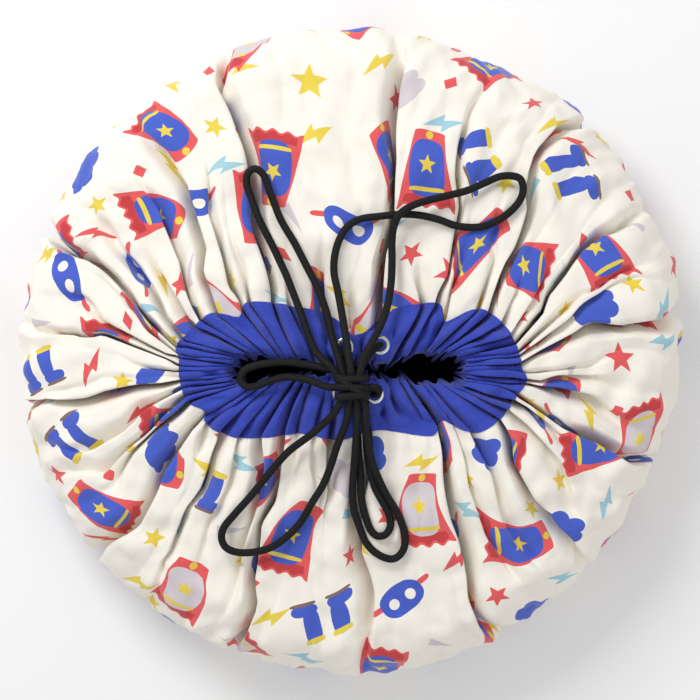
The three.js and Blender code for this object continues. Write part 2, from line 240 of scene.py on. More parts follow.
class Spot:
    """The surface seen from the middle of one printed figure, turned and sized as that figure is."""

    def __init__(self, u: Signal, v: Signal) -> None:
        """u is across the figure and v is up it."""
        self.u = u
        self.v = v

    def ellipse(self, x: float, y: float, across: float, up: float, power: float = 2.0) -> Signal:
        """An oval or a rounded box.

        Args:
            x: its middle, across.
            y: its middle, up.
            across: half its width.
            up: half its height.
            power: 2 for an oval, more for a squarer outline.

        Returns:
            1 inside it and 0 outside.
        """
        side = abs((self.u - x) * (1 / across))
        rise = abs((self.v - y) * (1 / up))
        return (side**power + rise**power) < 1.0

    def twins(self, x: float, y: float, across: float, up: float, power: float = 2.0) -> Signal:
        """The same oval on both sides of the figure."""
        side = (abs(self.u) - x) * (1 / across)
        rise = (self.v - y) * (1 / up)
        return (abs(side) ** power + abs(rise) ** power) < 1.0

    def star(self, x: float, y: float, radius: float) -> Signal:
        """A five-pointed star."""
        across = self.u - x
        up = self.v - y
        angle = up.tree.maths("ARCTAN2", across, up)
        reach = up.tree.maths("SQRT", across * across + up * up)
        fold = abs((angle + TURN / 10) % (TURN / 5) - TURN / 10)
        along = reach * up.tree.maths("COSINE", fold)
        aside = reach * up.tree.maths("SINE", fold)
        return (along * 0.36 + aside * 0.93) < 0.36 * radius

    def bolt(self, size: float) -> Signal:
        """A bolt of lightning: two slanting spikes joined at the middle."""
        way = self.v.tree.maths("SIGN", self.v)
        taper = 1.0 - abs(self.v) * (1 / size)
        return abs(self.u - self.v * 0.55 + way * (0.16 * size)) < taper * (0.3 * size)

    def diamond(self, size: float) -> Signal:
        """A square stood on its corner."""
        return (abs(self.u) + abs(self.v) * 0.85) < size

    def wedge(self, size: float) -> Signal:
        """A long thin triangle."""
        width = (self.v + size) * 0.17
        return (abs(self.u) < width) * (self.v < size)

    def cloud(self, size: float) -> Signal:
        """Six round puffs that run together over a long middle."""
        parts = (
            self.ellipse(-0.64 * size, -0.04 * size, 0.32 * size, 0.30 * size),
            self.ellipse(-0.24 * size, 0.30 * size, 0.40 * size, 0.38 * size),
            self.ellipse(0.34 * size, 0.22 * size, 0.36 * size, 0.34 * size),
            self.ellipse(0.70 * size, -0.10 * size, 0.30 * size, 0.28 * size),
            self.ellipse(-0.34 * size, -0.30 * size, 0.42 * size, 0.26 * size),
            self.ellipse(0.30 * size, -0.26 * size, 0.46 * size, 0.30 * size),
            self.ellipse(0.0, 0.0, 0.60 * size, 0.24 * size),
        )
        whole = parts[0]
        for part in parts[1:]:
            whole = whole.high(part)
        return whole


@dataclass(frozen=True)
class PrintedCanvas:
    """Cream cotton printed with capes, masks, boots, clouds and stars. It reads the flat cloth's own map."""

    cell: float = 0.146
    inks: Inks = Inks()

    def make(self, name: str) -> bpy.types.Material:
        """Builds the material.

        Args:
            name: the material's name.

        Returns:
            The material.
        """
        tree = ShaderTree(name)
        place = tree.node("UVMap", {"uv_map": "cloth"}).outputs[0]
        colour = self.ground(tree, place)
        for layer in (self.small_figures, self.middle_figures, self.capes):
            colour = layer(tree, place, colour)
        tree.feed(tree.surface.inputs["Base Color"], colour)
        tree.constants({"Roughness": 0.9, "Sheen Weight": 0.25, "Sheen Roughness": 0.5})
        weave(tree, place, 0.12)
        return tree.material

    def ground(self, tree: ShaderTree, place: Socket) -> Socket:
        """The unprinted cloth, with a faint unevenness."""
        noise = tree.node("TexNoise", inputs={"Vector": place, "Scale": 14.0, "Detail": 2.0})
        share = Signal(tree, noise.outputs["Fac"]) * 0.35
        return tree.mix(share, self.inks.cream, linear(241, 234, 221))

    def spot(
        self,
        tree: ShaderTree,
        place: Socket,
        shift: tuple[float, float],
        seed: float,
        sway: float,
        jitter: float,
    ) -> tuple[Spot, tuple[Signal, Signal, Signal]]:
        """Finds the nearest figure of one set.

        Args:
            tree: the material's tree.
            place: the cloth's map, in metres.
            shift: where the set's first figure lies, in cells.
            seed: the set's random seed.
            sway: how far a figure may be turned each way, in radians.
            jitter: how far it may lie off its place, in cells.

        Returns:
            The place seen from that figure, and its three random numbers.
        """
        x, y, _ = tree.split(place)
        column = x * (1 / self.cell) + shift[0]
        row = y * (1 / self.cell) + shift[1]
        column_number = column.floor()
        row_number = row.floor()
        first = tree.chance(column_number, row_number, seed)
        second = tree.chance(column_number, row_number, seed + 7.0)
        across = (column - column_number - 0.5 - (first[0] - 0.5) * jitter) * self.cell
        up = (row - row_number - 0.5 - (first[1] - 0.5) * jitter) * self.cell
        turn = (first[2] - 0.5) * (2 * sway) + (second[2] > 0.5) * (TURN / 2)
        cosine = tree.maths("COSINE", turn)
        sine = tree.maths("SINE", turn)
        return Spot(across * cosine + up * sine, up * cosine - across * sine), second

    def capes(self, tree: ShaderTree, place: Socket, colour: object) -> Socket:
        """The large figures: a flared cape laid out flat, with a round clasp and a starred shield."""
        inks = self.inks
        spot, luck = self.spot(tree, place, (0.31, 0.18), 3.0, 0.75, 0.20)
        half = (0.036 - spot.v) * 0.19 + 0.0165
        hem = spot.v + tree.maths("COSINE", spot.u * 420.0) * 0.0018
        cape = (abs(spot.u) < half) * (spot.v < 0.036) * (hem > -0.036)
        colour = tree.mix(cape, colour, inks.red)
        lining = cape * (abs(spot.u) < half - 0.005) * (hem > -0.0335) * (spot.v < -0.024)
        colour = tree.mix(lining, colour, linear(196, 58, 62))
        shield_colour = tree.mix(luck[0] > 0.12, inks.lilac, inks.blue)
        colour = tree.mix(spot.ellipse(0.0, 0.001, 0.0192, 0.0275, 3.2), colour, shield_colour)
        colour = tree.mix(spot.ellipse(0.0, -0.0190, 0.0180, 0.0021, 4.0), colour, inks.yellow)
        colour = tree.mix(spot.star(0.0, 0.004, 0.0098), colour, inks.yellow)
        colour = tree.mix(spot.ellipse(0.0, 0.0345, 0.0170, 0.0035, 3.0), colour, inks.red)
        return tree.mix(spot.ellipse(0.0, 0.0335, 0.0040, 0.0040), colour, inks.yellow)

    def middle_figures(self, tree: ShaderTree, place: Socket, colour: object) -> Socket:
        """Clouds, ribbon masks, pairs of boots and stars between the capes."""
        inks = self.inks
        spot, luck = self.spot(tree, place, (0.81, 0.68), 11.0, 0.7, 0.16)
        cloud_colour = tree.mix(luck[1] > 0.32, inks.lilac, inks.blue)
        colour = tree.mix(spot.cloud(0.0300) * (luck[0] < 0.40), colour, cloud_colour)
        is_mask = (luck[0] > 0.40) * (luck[0] < 0.66)
        colour = tree.mix(spot.twins(0.0345, -0.003, 0.0110, 0.0026, 3.0) * is_mask, colour, inks.red)
        colour = tree.mix(spot.ellipse(0.0, 0.0, 0.0300, 0.0135, 2.6) * is_mask, colour, inks.blue)
        colour = tree.mix(spot.twins(0.0125, 0.0005, 0.0068, 0.0048) * is_mask, colour, inks.cream)
        is_boots = (luck[0] > 0.66) * (luck[0] < 0.86)
        shafts = spot.twins(0.0135, 0.005, 0.0082, 0.0190, 3.0)
        feet = spot.twins(0.0185, -0.0145, 0.0132, 0.0064, 2.4)
        colour = tree.mix(shafts.high(feet) * is_boots, colour, inks.blue)
        colour = tree.mix(spot.twins(0.0135, 0.0205, 0.0094, 0.0032, 4.0) * is_boots, colour, inks.yellow)
        colour = tree.mix(spot.twins(0.0185, -0.0208, 0.0134, 0.0017, 4.0) * is_boots, colour, inks.brown)
        star_colour = tree.mix(luck[1] > 0.5, inks.yellow, inks.red)
        return tree.mix(spot.star(0.0, 0.0, 0.018) * (luck[0] > 0.86), colour, star_colour)

    def small_figures(self, tree: ShaderTree, place: Socket, colour: object) -> Socket:
        """Pairs of bolts, wedges, stars and diamonds beside and above the large figures."""
        inks = self.inks
        for shift, seed in (((0.81, 0.18), 23.0), ((0.31, 0.68), 37.0)):
            spot, luck = self.spot(tree, place, shift, seed, 3.1, 0.10)
            bright = tree.mix(luck[1] > 0.5, inks.yellow, inks.red)
            bright = tree.mix(luck[1] > 0.78, bright, inks.sky)
            pale = tree.mix(luck[2] > 0.5, inks.sky, inks.lilac)
            left = Spot(spot.u + 0.019, spot.v - 0.006)
            right = Spot(spot.u - 0.019, spot.v + 0.008)
            colour = tree.mix(left.bolt(0.0215) * (luck[0] < 0.62), colour, bright)
            colour = tree.mix(left.wedge(0.016) * (luck[0] > 0.62), colour, pale)
            star_colour = tree.mix(luck[1] > 0.4, inks.red, inks.yellow)
            colour = tree.mix(right.star(0.0, 0.0, 0.0125) * (luck[2] < 0.55), colour, star_colour)
            colour = tree.mix(right.diamond(0.0072) * (luck[2] > 0.55) * (luck[2] < 0.8), colour, inks.red)
        return colour


def weave(tree: ShaderTree, place: Socket, strength: float) -> None:
    """Gives the surface the fine bumps of plain weave, a thread being a little under a millimetre."""
    x, y, _ = tree.split(place)
    wave = TURN / (2 * THREAD)
    over = tree.maths("SINE", x * wave) * tree.maths("SINE", y * wave)
    noise = tree.node("TexNoise", inputs={"Vector": place, "Scale": 420.0, "Detail": 2.0})
    height = over * 0.5 + Signal(tree, noise.outputs["Fac"])
    bump = tree.node("Bump", inputs={"Strength": strength, "Distance": 0.0006, "Height": height})
    tree.feed(tree.surface.inputs["Normal"], bump.outputs[0])


@dataclass(frozen=True)
class DyedCotton:
    """Plain woven cotton of one colour."""

    colour: tuple
    shade: tuple
    strength: float = 0.5

    def make(self, name: str) -> bpy.types.Material:
        """Builds the material under that name."""
        tree = ShaderTree(name)
        place = tree.node("UVMap", {"uv_map": "cloth"}).outputs[0]
        noise = tree.node("TexNoise", inputs={"Vector": place, "Scale": 260.0, "Detail": 4.0})
        share = Signal(tree, noise.outputs["Fac"])
        tree.feed(tree.surface.inputs["Base Color"], tree.mix(share, self.colour, self.shade))
        tree.constants({"Roughness": 0.88, "Sheen Weight": 0.2, "Sheen Roughness": 0.45})
        weave(tree, place, self.strength)
        return tree.material


@dataclass(frozen=True)
class BraidedCord:
    """Black braided cord. The map runs along it in metres and once round it."""

    colour: tuple = linear(11, 11, 11)
    worn: tuple = linear(24, 23, 24)
    pitch: float = 0.0036

    def make(self, name: str) -> bpy.types.Material:
        """Builds the material under that name."""
        tree = ShaderTree(name)
        along, around, _ = tree.split(tree.node("UVMap", {"uv_map": "cord"}).outputs[0])
        one = tree.maths("SINE", along * (TURN / self.pitch) + around * (4 * TURN))
        other = tree.maths("SINE", along * (TURN / self.pitch) - around * (4 * TURN))
        height = one.high(other)
        tree.feed(tree.surface.inputs["Base Color"], tree.mix(height.high(0.0) * 0.6, self.colour, self.worn))
        tree.constants({"Roughness": 0.75, "Specular IOR Level": 0.3})
        bump = tree.node("Bump", inputs={"Strength": 0.35, "Distance": 0.0004, "Height": height})
        tree.feed(tree.surface.inputs["Normal"], bump.outputs[0])
        return tree.material


def polished_metal(name: str) -> bpy.types.Material:
    """Bright nickel plate."""
    tree = ShaderTree(name)
    tree.constants({"Base Color": linear(205, 206, 208), "Metallic": 1.0, "Roughness": 0.2})
    return tree.material


@dataclass
class Finishes:
    """Every finish on the bag."""

    canvas: bpy.types.Material = field(default_factory=lambda: PrintedCanvas().make("printed_canvas"))
    band: bpy.types.Material = field(
        default_factory=lambda: DyedCotton(linear(56, 78, 194), linear(46, 64, 172)).make("blue_cotton")
    )
    thread: bpy.types.Material = field(
        default_factory=lambda: DyedCotton(linear(70, 90, 205), linear(60, 80, 195)).make("blue_thread")
    )
    # The lining's colour is a guessed near-black, made this dark so that it also paints the deep shade inside
    # the bag's mouth.
    lining: bpy.types.Material = field(
        default_factory=lambda: DyedCotton(linear(24, 26, 40), linear(16, 17, 26)).make("lining_dark_as_painted_shade")
    )
    cord: bpy.types.Material = field(default_factory=lambda: BraidedCord().make("black_braid"))
    metal: bpy.types.Material = field(default_factory=lambda: polished_metal("bright_nickel"))


# ---------------------------------------------------------------- meshes


def add_mesh(
    name: str,
    points: np.ndarray,
    faces: Iterable[Sequence[int]],
    material: bpy.types.Material,
    uv: np.ndarray | None = None,
    uv_name: str = "cloth",
) -> bpy.types.Object:
    """Makes a smooth shaded object at the origin.

    Args:
        name: the object's name.
        points: its vertices.
        faces: vertex numbers of each face.
        material: its finish.
        uv: a map, one row for each corner of each face in turn.
        uv_name: the map's name.

    Returns:
        The object, linked to the scene.
    """
    mesh = bpy.data.meshes.new(name)
    mesh.from_pydata([tuple(p) for p in points], [], [tuple(f) for f in faces])
    if uv is not None:
        layer = mesh.uv_layers.new(name=uv_name)
        layer.data.foreach_set("uv", np.asarray(uv, np.float32).ravel())
    mesh.polygons.foreach_set("use_smooth", [True] * len(mesh.polygons))
    mesh.materials.append(material)
    mesh.update()
    made = bpy.data.objects.new(name, mesh)
    bpy.context.scene.collection.objects.link(made)
    return made


def run_along(line: np.ndarray) -> np.ndarray:
    """How far along a line each of its points is."""
    return np.concatenate([[0], np.cumsum(np.linalg.norm(np.diff(line, axis=0), axis=1))])


def middle_of(node: str) -> np.ndarray:
    """The middle of a CAD node's box."""
    low, high = (np.array(c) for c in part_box(node))
    return (low + high) / 2


def smooth_route(points: Sequence[Point], step: float) -> np.ndarray:
    """A smooth line through a few points, with its new points about step apart."""
    given = np.array(points, float)
    ahead = np.vstack([2 * given[0] - given[1], given, 2 * given[-1] - given[-2]])
    line = []
    for i in range(1, len(ahead) - 2):
        a, b, c, d = ahead[i - 1 : i + 3]
        knots = np.cumsum([0.0, *[math.sqrt(np.linalg.norm(q - p)) for p, q in ((a, b), (b, c), (c, d))]])
        for t in np.linspace(knots[1], knots[2], 12, endpoint=False):
            line.append(_pyramid((a, b, c, d), knots, t))
    line.append(given[-1])
    line = np.array(line)
    run = run_along(line)
    even = np.linspace(0, run[-1], max(2, round(run[-1] / step)) + 1)
    return np.stack([np.interp(even, run, line[:, k]) for k in range(3)], -1)


def _pyramid(points: Sequence[np.ndarray], knots: np.ndarray, t: float) -> np.ndarray:
    """One point of a centripetal Catmull-Rom curve."""
    level = list(points)
    for order in (1, 2):
        spans = [(knots[i], knots[i + order]) for i in range(len(level) - 1)]
        level = [
            (level[i] * (high - t) + level[i + 1] * (t - low)) / (high - low)
            for i, (low, high) in enumerate(spans)
        ]
    a, b = level
    return (a * (knots[2] - t) + b * (t - knots[1])) / (knots[2] - knots[1])


def tube_parts(line: np.ndarray, radius: float, sides: int = 14) -> tuple[np.ndarray, list, np.ndarray]:
    """A round-ended tube along a line.

    Args:
        line: points along its middle.
        radius: its radius.
        sides: how many sides it has.

    Returns:
        Its points, its faces, and its map, along in metres and once round.
    """
    tangent = np.gradient(line, axis=0)
    tangent /= np.linalg.norm(tangent, axis=1)[:, None]
    side = np.cross(tangent[0], (0, 0, 1.0))
    if np.linalg.norm(side) < 0.1:
        side = np.cross(tangent[0], (0, 1.0, 0))
    run = run_along(line)
    rows, places = [], []
    caps = [(0, -math.cos(a), math.sin(a)) for a in np.linspace(0.25, math.pi / 2, 3)[:-1]]
    caps_end = [(len(line) - 1, math.cos(a), math.sin(a)) for a in np.linspace(math.pi / 2, 0.25, 3)[1:]]
    stations = caps + [(i, 0.0, 1.0) for i in range(len(line))] + caps_end
    for index, push, size in stations:
        side = side - tangent[index] * (side @ tangent[index])
        side /= np.linalg.norm(side)
        up = np.cross(tangent[index], side)
        centre = line[index] + tangent[index] * push * radius
        angles = TURN * np.arange(sides) / sides
        rows.append(centre + radius * size * (np.outer(np.cos(angles), side) + np.outer(np.sin(angles), up)))
        places.append(run[index] + push * radius)
    points = np.vstack([*rows, line[:1] - tangent[:1] * radius, line[-1:] + tangent[-1:] * radius])
    faces, uv = [], []
    for i in range(len(rows) - 1):
        for j in range(sides):
            k = (j + 1) % sides
            faces.append((i * sides + j, i * sides + k, (i + 1) * sides + k, (i + 1) * sides + j))
            low, high = j / sides, (j + 1) / sides
            uv += [(places[i], low), (places[i], high), (places[i + 1], high), (places[i + 1], low)]
    first, last, top = len(points) - 2, len(points) - 1, (len(rows) - 1) * sides
    for j in range(sides):
        k = (j + 1) % sides
        faces += [(first, k, j), (last, top + j, top + k)]
        uv += [(places[0], 0.5), (places[0], (j + 1) / sides), (places[0], j / sides)]
        uv += [(places[-1], 0.5), (places[-1], j / sides), (places[-1], (j + 1) / sides)]
    return points, faces, np.array(uv)


# ---------------------------------------------------------------- cloth


# How far from a fold's middle its points lie, in half widths.
FOLD_POINTS = np.array([-2.0, -1.55, -1.2, -0.95, -0.7, -0.4, 0.0, 0.4, 0.7, 0.95, 1.2, 1.55, 2.0])


@dataclass(frozen=True)
class Fold:
    """A fold of the cloth, running from the side of the bag to its mouth."""

    share: float  # where it is round the bag, as a share of a turn from +X
    lean: float  # how far its bottom lies to one side, in depths
    start: float  # the flat radius where it begins
    weight: float  # its share of the spare cloth, against its neighbours


@dataclass(frozen=True)
class Panel:
    """The cloth from one main fold to the next."""

    share: float  # where its main fold is
    lean: float  # the main fold's lean
    weight: float  # the main fold's share of the spare cloth
    calm: float = 0.40  # the flat radius up to which it has no small folds
    start: float = 0.0  # the flat radius where the main fold begins


@dataclass(frozen=True)
class Crease:
    """A short crease, from one place on the flat cloth to another."""

    start: np.ndarray
    end: np.ndarray
    width: float
    depth: float

    def sink(self, x: np.ndarray, y: np.ndarray) -> np.ndarray:
        """How far each place on the flat cloth is moved out: down in the crease, and up beside it."""
        way = self.end - self.start
        length = float(np.hypot(*way))
        along = ((x - self.start[0]) * way[0] + (y - self.start[1]) * way[1]) / length
        aside = ((x - self.start[0]) * way[1] - (y - self.start[1]) * way[0]) / length
        taper = np.sin(np.clip(along / length, 0, 1) * math.pi)
        valley = np.exp(-((aside / self.width) ** 2))
        ridge = 0.7 * np.exp(-(((aside - 1.8 * self.width) / (1.3 * self.width)) ** 2))
        return (ridge - valley) * taper * self.depth


@dataclass(frozen=True)
class Tuck:
    """A place where the casing is drawn in further than beside it, or less far when the depth is negative."""

    share: float
    width: float
    depth: float
    roll: float = 0.0  # how far the rim rolls down into the bag


@dataclass
class GatheredCloth:
    """The flat disc of cloth, gathered into the bag's shape.

    The bag's smooth shape comes first. Each ring of the cloth is longer than the smooth shape's ring there,
    and the spare length is laid in folds that dip into the bag, so every ring keeps about its real length.
    """

    flat_radius: float = 0.70
    seam_radius: float = 0.645
    half_length: float = 0.345
    half_width: float = 0.336
    side_height: float = 0.128
    seam_height: float = 0.1505
    rim_height: float = 0.1585
    rim_drop: float = 0.009
    mouth_y: float = -0.020
    mouth_end_x: float = 0.103
    mouth_end_radius: float = 0.042
    mouth_narrowing: float = 0.012
    band_width: float = 0.050
    crowding: float = 0.6  # how far the folds crowd towards the ends of the mouth
    floor_gap: float = 0.0012  # the lowest the canvas lies
    wrinkles_from: float = 0.28  # the flat radius inside which the cloth is smooth
    fold_spacing: float = 0.026  # of the small folds, in turns
    steepest_lean: float = 0.7  # how far a fold may lie over, against the room beside it
    wave_size: float = 0.00045
    seam_wave_size: float = 0.00035  # added near the seam
    swell_size: float = 0.0011
    curve_points: int = 3001  # on the smooth shape's ring
    between: int = 4  # points from one fold to the next
    seed: int = 5
    main_panels: Sequence[Panel] = (
        Panel(0.016, 0.9, 0.9), Panel(0.072, -0.3, 0.6, 0.46, 0.42), Panel(0.126, 0.7, 1.2, 0.42),
        Panel(0.176, 0.2, 0.7, 0.57, 0.43), Panel(0.226, -0.7, 1.2, 0.56), Panel(0.312, 0.8, 1.3, 0.48),
        Panel(0.368, -0.3, 0.9, 0.42, 0.44), Panel(0.440, 0.6, 1.0, 0.43), Panel(0.486, 0.3, 0.6, 0.5, 0.43),
        Panel(0.531, -0.9, 1.1), Panel(0.606, 0.7, 1.1, 0.45), Panel(0.642, -0.3, 0.7, 0.42, 0.46),
        Panel(0.692, 0.6, 1.1, 0.5), Panel(0.757, 0.4, 1.0, 0.61, 0.40), Panel(0.826, -1.1, 1.5, 0.44),
        Panel(0.880, 0.6, 0.9, 0.44, 0.42), Panel(0.942, -0.4, 1.0, 0.46),
    )
    tucks: Sequence[Tuck] = (
        Tuck(0.158, 0.013, 0.020, 0.004), Tuck(0.243, 0.017, 0.022, 0.010), Tuck(0.354, 0.013, 0.014),
        Tuck(0.440, 0.022, -0.007), Tuck(0.600, 0.012, 0.009), Tuck(0.742, 0.020, -0.013),
        Tuck(0.836, 0.013, 0.018, 0.003), Tuck(0.970, 0.025, -0.007),
    )

    def __post_init__(self) -> None:
        """Works out what follows from the sizes, and places the small folds."""
        self.side_radius = self.side_height / 2
        self.foot = (self.half_length - self.side_radius, self.half_width - self.side_radius)
        self.dip_table = self._dip_lengths()
        luck = np.random.default_rng(self.seed)
        self.panels: list[list[Fold]] = []
        for i, panel in enumerate(self.main_panels):
            end = self.main_panels[(i + 1) % len(self.main_panels)].share + (i == len(self.main_panels) - 1)
            count = max(1, round((end - panel.share) / self.fold_spacing))
            folds = [Fold(panel.share, panel.lean, panel.start, panel.weight)]
            for k in range(count):
                place = (k + 1 + luck.uniform(-0.27, 0.27)) / (count + 1)
                folds.append(
                    Fold(
                        panel.share + (end - panel.share) * place,
                        luck.uniform(-0.8, 0.8),
                        min(panel.calm + luck.uniform(0.0, 0.15), 0.655),
                        luck.uniform(0.25, 1.6),
                    )
                )
            self.panels.append(folds)
        self.folds = [fold for panel in self.panels for fold in panel]
        self.wobble = luck.uniform(0, TURN, (len(self.folds), 2))
        self.waves = self._random_waves(luck, 30, 40, 170)
        self.swells = self._random_waves(luck, 6, 14, 34)
        self.lumps = [(k, luck.uniform(0, TURN), 0.010 / k) for k in (2, 3, 4, 5, 7)]
        self.creases = [self._random_crease(luck) for _ in range(46)]
        self.rim_waves = [(k, luck.uniform(0, TURN), 0.0035 / math.sqrt(k)) for k in (3, 5, 8, 11, 15)]

    @staticmethod
    def _random_waves(luck: np.random.Generator, count: int, low: float, high: float) -> list[tuple]:
        """Straight waves over the flat cloth: radians to the metre, the way each runs, and its phase."""
        return [(luck.uniform(low, high), luck.uniform(0, TURN), luck.uniform(0, TURN)) for _ in range(count)]

    @staticmethod
    def _random_crease(luck: np.random.Generator) -> Crease:
        """A crease that starts on the shoulder and runs roughly towards the mouth."""
        angle = luck.uniform(0, TURN)
        radius = luck.uniform(0.34, 0.55)
        heading = angle + luck.uniform(-1.1, 1.1)
        length = luck.uniform(0.05, 0.15)
        start = radius * np.array([math.cos(angle), math.sin(angle)])
        end = start + length * np.array([math.cos(heading), math.sin(heading)])
        return Crease(start, end, luck.uniform(0.004, 0.010), luck.uniform(0.0012, 0.0034))

    def outline(self, share: np.ndarray, grow: float) -> np.ndarray:
        """Points of the casing's middle line, moved outwards by grow, at shares of its length from +X."""
        radius = self.mouth_end_radius + grow
        turn = np.linspace(0, math.pi / 2, 300, endpoint=False)
        straight = np.linspace(self.mouth_end_x, -self.mouth_end_x, 900, endpoint=False)
        dent = self.mouth_narrowing * (1 + np.cos(math.pi * straight / self.mouth_end_x)) / 2
        east = np.stack([self.mouth_end_x + radius * np.cos(turn), radius * np.sin(turn)], -1)
        north = np.stack([straight, radius - dent], -1)
        turn = turn + math.pi / 2
        west = np.stack([-self.mouth_end_x + radius * np.cos(turn), radius * np.sin(turn)], -1)
        half = np.vstack([east, north, west])
        whole = np.vstack([half, -half, half[:1]])
        run = run_along(whole)
        run /= run[-1]
        x, y = (np.interp(share % 1, run, whole[:, k]) for k in range(2))
        return np.stack([x, y + self.mouth_y], -1)

    @staticmethod
    def _dip(u: np.ndarray) -> np.ndarray:
        """A fold's section: how deep it is, from 0 to 1, at u half widths from its middle."""
        return np.exp(-np.abs(u) ** 2.2) - math.exp(-(2.0**2.2))

    def _dip_lengths(self) -> tuple[np.ndarray, np.ndarray]:
        """How much length a fold of each depth hides, both in half widths."""
        depth = np.concatenate([np.linspace(0, 3, 61), np.linspace(3.2, 70, 240)])
        u = np.linspace(-2, 2, 1601)
        slope = np.gradient(self._dip(u), u)
        hidden = [np.sum(np.sqrt(1 + (d * slope) ** 2) - 1) * (u[1] - u[0]) for d in depth]
        return np.array(hidden), depth

    def smooth_shape(self, share: np.ndarray, radius: float) -> tuple[np.ndarray, np.ndarray]:
        """The bag's shape without its folds.

        Args:
            share: places round the bag, as shares of a turn.
            radius: the flat cloth's radius there.

        Returns:
            Points and outward normals.
        """
        angle = TURN * share
        foot = np.stack([self.foot[0] * np.cos(angle), self.foot[1] * np.sin(angle)], -1)
        mouth_share = share - self.crowding / (2 * TURN) * np.sin(2 * angle)
        drawn, rolled = self._tucked(share)
        seam = self.outline(mouth_share, self.band_width / 2)
        rim = self.outline(mouth_share, -self.band_width / 2)
        across = (seam - self.outline(mouth_share, 0.0)) / (self.band_width / 2)
        seam = seam - across * drawn[:, None]
        ripple = sum(size * np.cos(k * angle + phase) for k, phase, size in self.rim_waves)
        rim = rim + across * (0.6 * rolled + ripple)[:, None]
        inward = seam - foot
        flat_run = np.linalg.norm(foot, axis=-1)
        side_run = math.pi * self.side_radius
        top_run = np.linalg.norm(inward, axis=-1) * 1.02
        run = min(radius / self.seam_radius, 1.0) * (flat_run + side_run + top_run)
        turn = np.clip((run - flat_run) / side_run, 0, 1) * math.pi
        top = np.clip((run - flat_run - side_run) / top_run, 0, 1)
        band = np.clip((radius - self.seam_radius) / (self.flat_radius - self.seam_radius), 0, 1)
        out = foot / flat_run[:, None]
        lump = sum(size * np.cos(k * angle + phase) for k, phase, size in self.lumps)
        plan = foot * np.clip(run / flat_run, 0, 1)[:, None]
        plan = plan + out * ((self.side_radius - 0.004 + lump * 0.5) * np.sin(turn))[:, None]
        plan = plan + inward * top[:, None] + (rim - seam) * band
        rise = self.side_radius * (1 - np.cos(turn))
        rise = rise + (self.seam_height - self.side_height) * (1 - (1 - top) ** 1.5)
        rise = rise + (self.rim_height - self.seam_height) * math.sin(min(band * 1.5, 1.0) * math.pi / 2)
        rise = rise - (rolled + self.rim_drop) * max(band * 2 - 1, 0.0) ** 2
        level = -inward / np.linalg.norm(inward, axis=-1)[:, None]
        level = out * (1 - top)[:, None] + level * top[:, None]
        level /= np.linalg.norm(level, axis=-1)[:, None]
        on_top = top > 0
        flatwise = np.where(on_top, 0.25 * (1 - top) + 0.20 * band, np.sin(turn))
        upwards = np.where(on_top, 1.0, -np.cos(turn))
        normal = np.concatenate([level * flatwise[:, None], upwards[:, None]], -1)
        normal /= np.linalg.norm(normal, axis=-1)[:, None]
        return np.concatenate([plan, rise[:, None]], -1), normal

    def _tucked(self, share: np.ndarray) -> tuple[np.ndarray, np.ndarray]:
        """How far the seam is drawn in at each share of a turn, and how far the rim rolls down."""
        drawn = np.zeros(len(share))
        rolled = np.zeros(len(share))
        for tuck in self.tucks:
            away = (share - tuck.share + 0.5) % 1 - 0.5
            bump = np.exp(-((away / tuck.width) ** 2))
            drawn += tuck.depth * bump
            rolled += tuck.roll * bump
        return drawn, rolled

    def ring(self, radius: float) -> tuple[np.ndarray, np.ndarray]:
        """One ring of the gathered cloth.

        Args:
            radius: its radius on the flat cloth.

        Returns:
            Its points, and the flat cloth's angle at each.
        """
        shares = np.linspace(self.folds[0].share, self.folds[0].share + 1, self.curve_points)
        line, _ = self.smooth_shape(shares, radius)
        run = run_along(line)
        length = run[-1]
        place = np.interp([f.share for f in self.folds], shares, run)
        spare = self._spare_lengths(radius, shares, run)
        calm = float(np.interp(radius, [0.30, 0.38, self.flat_radius - 0.10, self.flat_radius], [0, 1, 1, 0]))
        drift = np.sin(radius * 22 + self.wobble[:, 0]) + np.sin(radius * 41 + self.wobble[:, 1])
        room = self._room(place, length)
        place = place + np.clip(calm * 0.006 * drift, -0.24 * room, 0.24 * room)
        after = np.append(place[1:], place[0] + length)
        room = self._room(place, length)
        widest = np.interp(radius, [self.wrinkles_from, 0.36, 0.5], [0.014, 0.009, 0.0062])
        half = np.minimum(widest, (0.185 + 0.045 * np.sin(self.wobble[:, 0])) * room)
        lean = np.array([f.lean for f in self.folds]) * np.clip((radius - 0.34) / 0.1, 0, 1)
        depth = np.interp(spare / np.sqrt(1 + 0.4 * lean**2) / half, *self.dip_table) * half
        steepest = self.steepest_lean * room / np.maximum(depth, 1e-4)
        lean = np.clip(lean, -steepest, steepest)
        return self._lay_ring(radius, shares, run, place, after, half, lean, depth)

    @staticmethod
    def _room(place: np.ndarray, length: float) -> np.ndarray:
        """How far each fold is from the nearer of its neighbours."""
        after = np.append(place[1:], place[0] + length)
        before = np.insert(place[:-1], 0, place[-1] - length)
        return np.minimum(after - place, place - before)

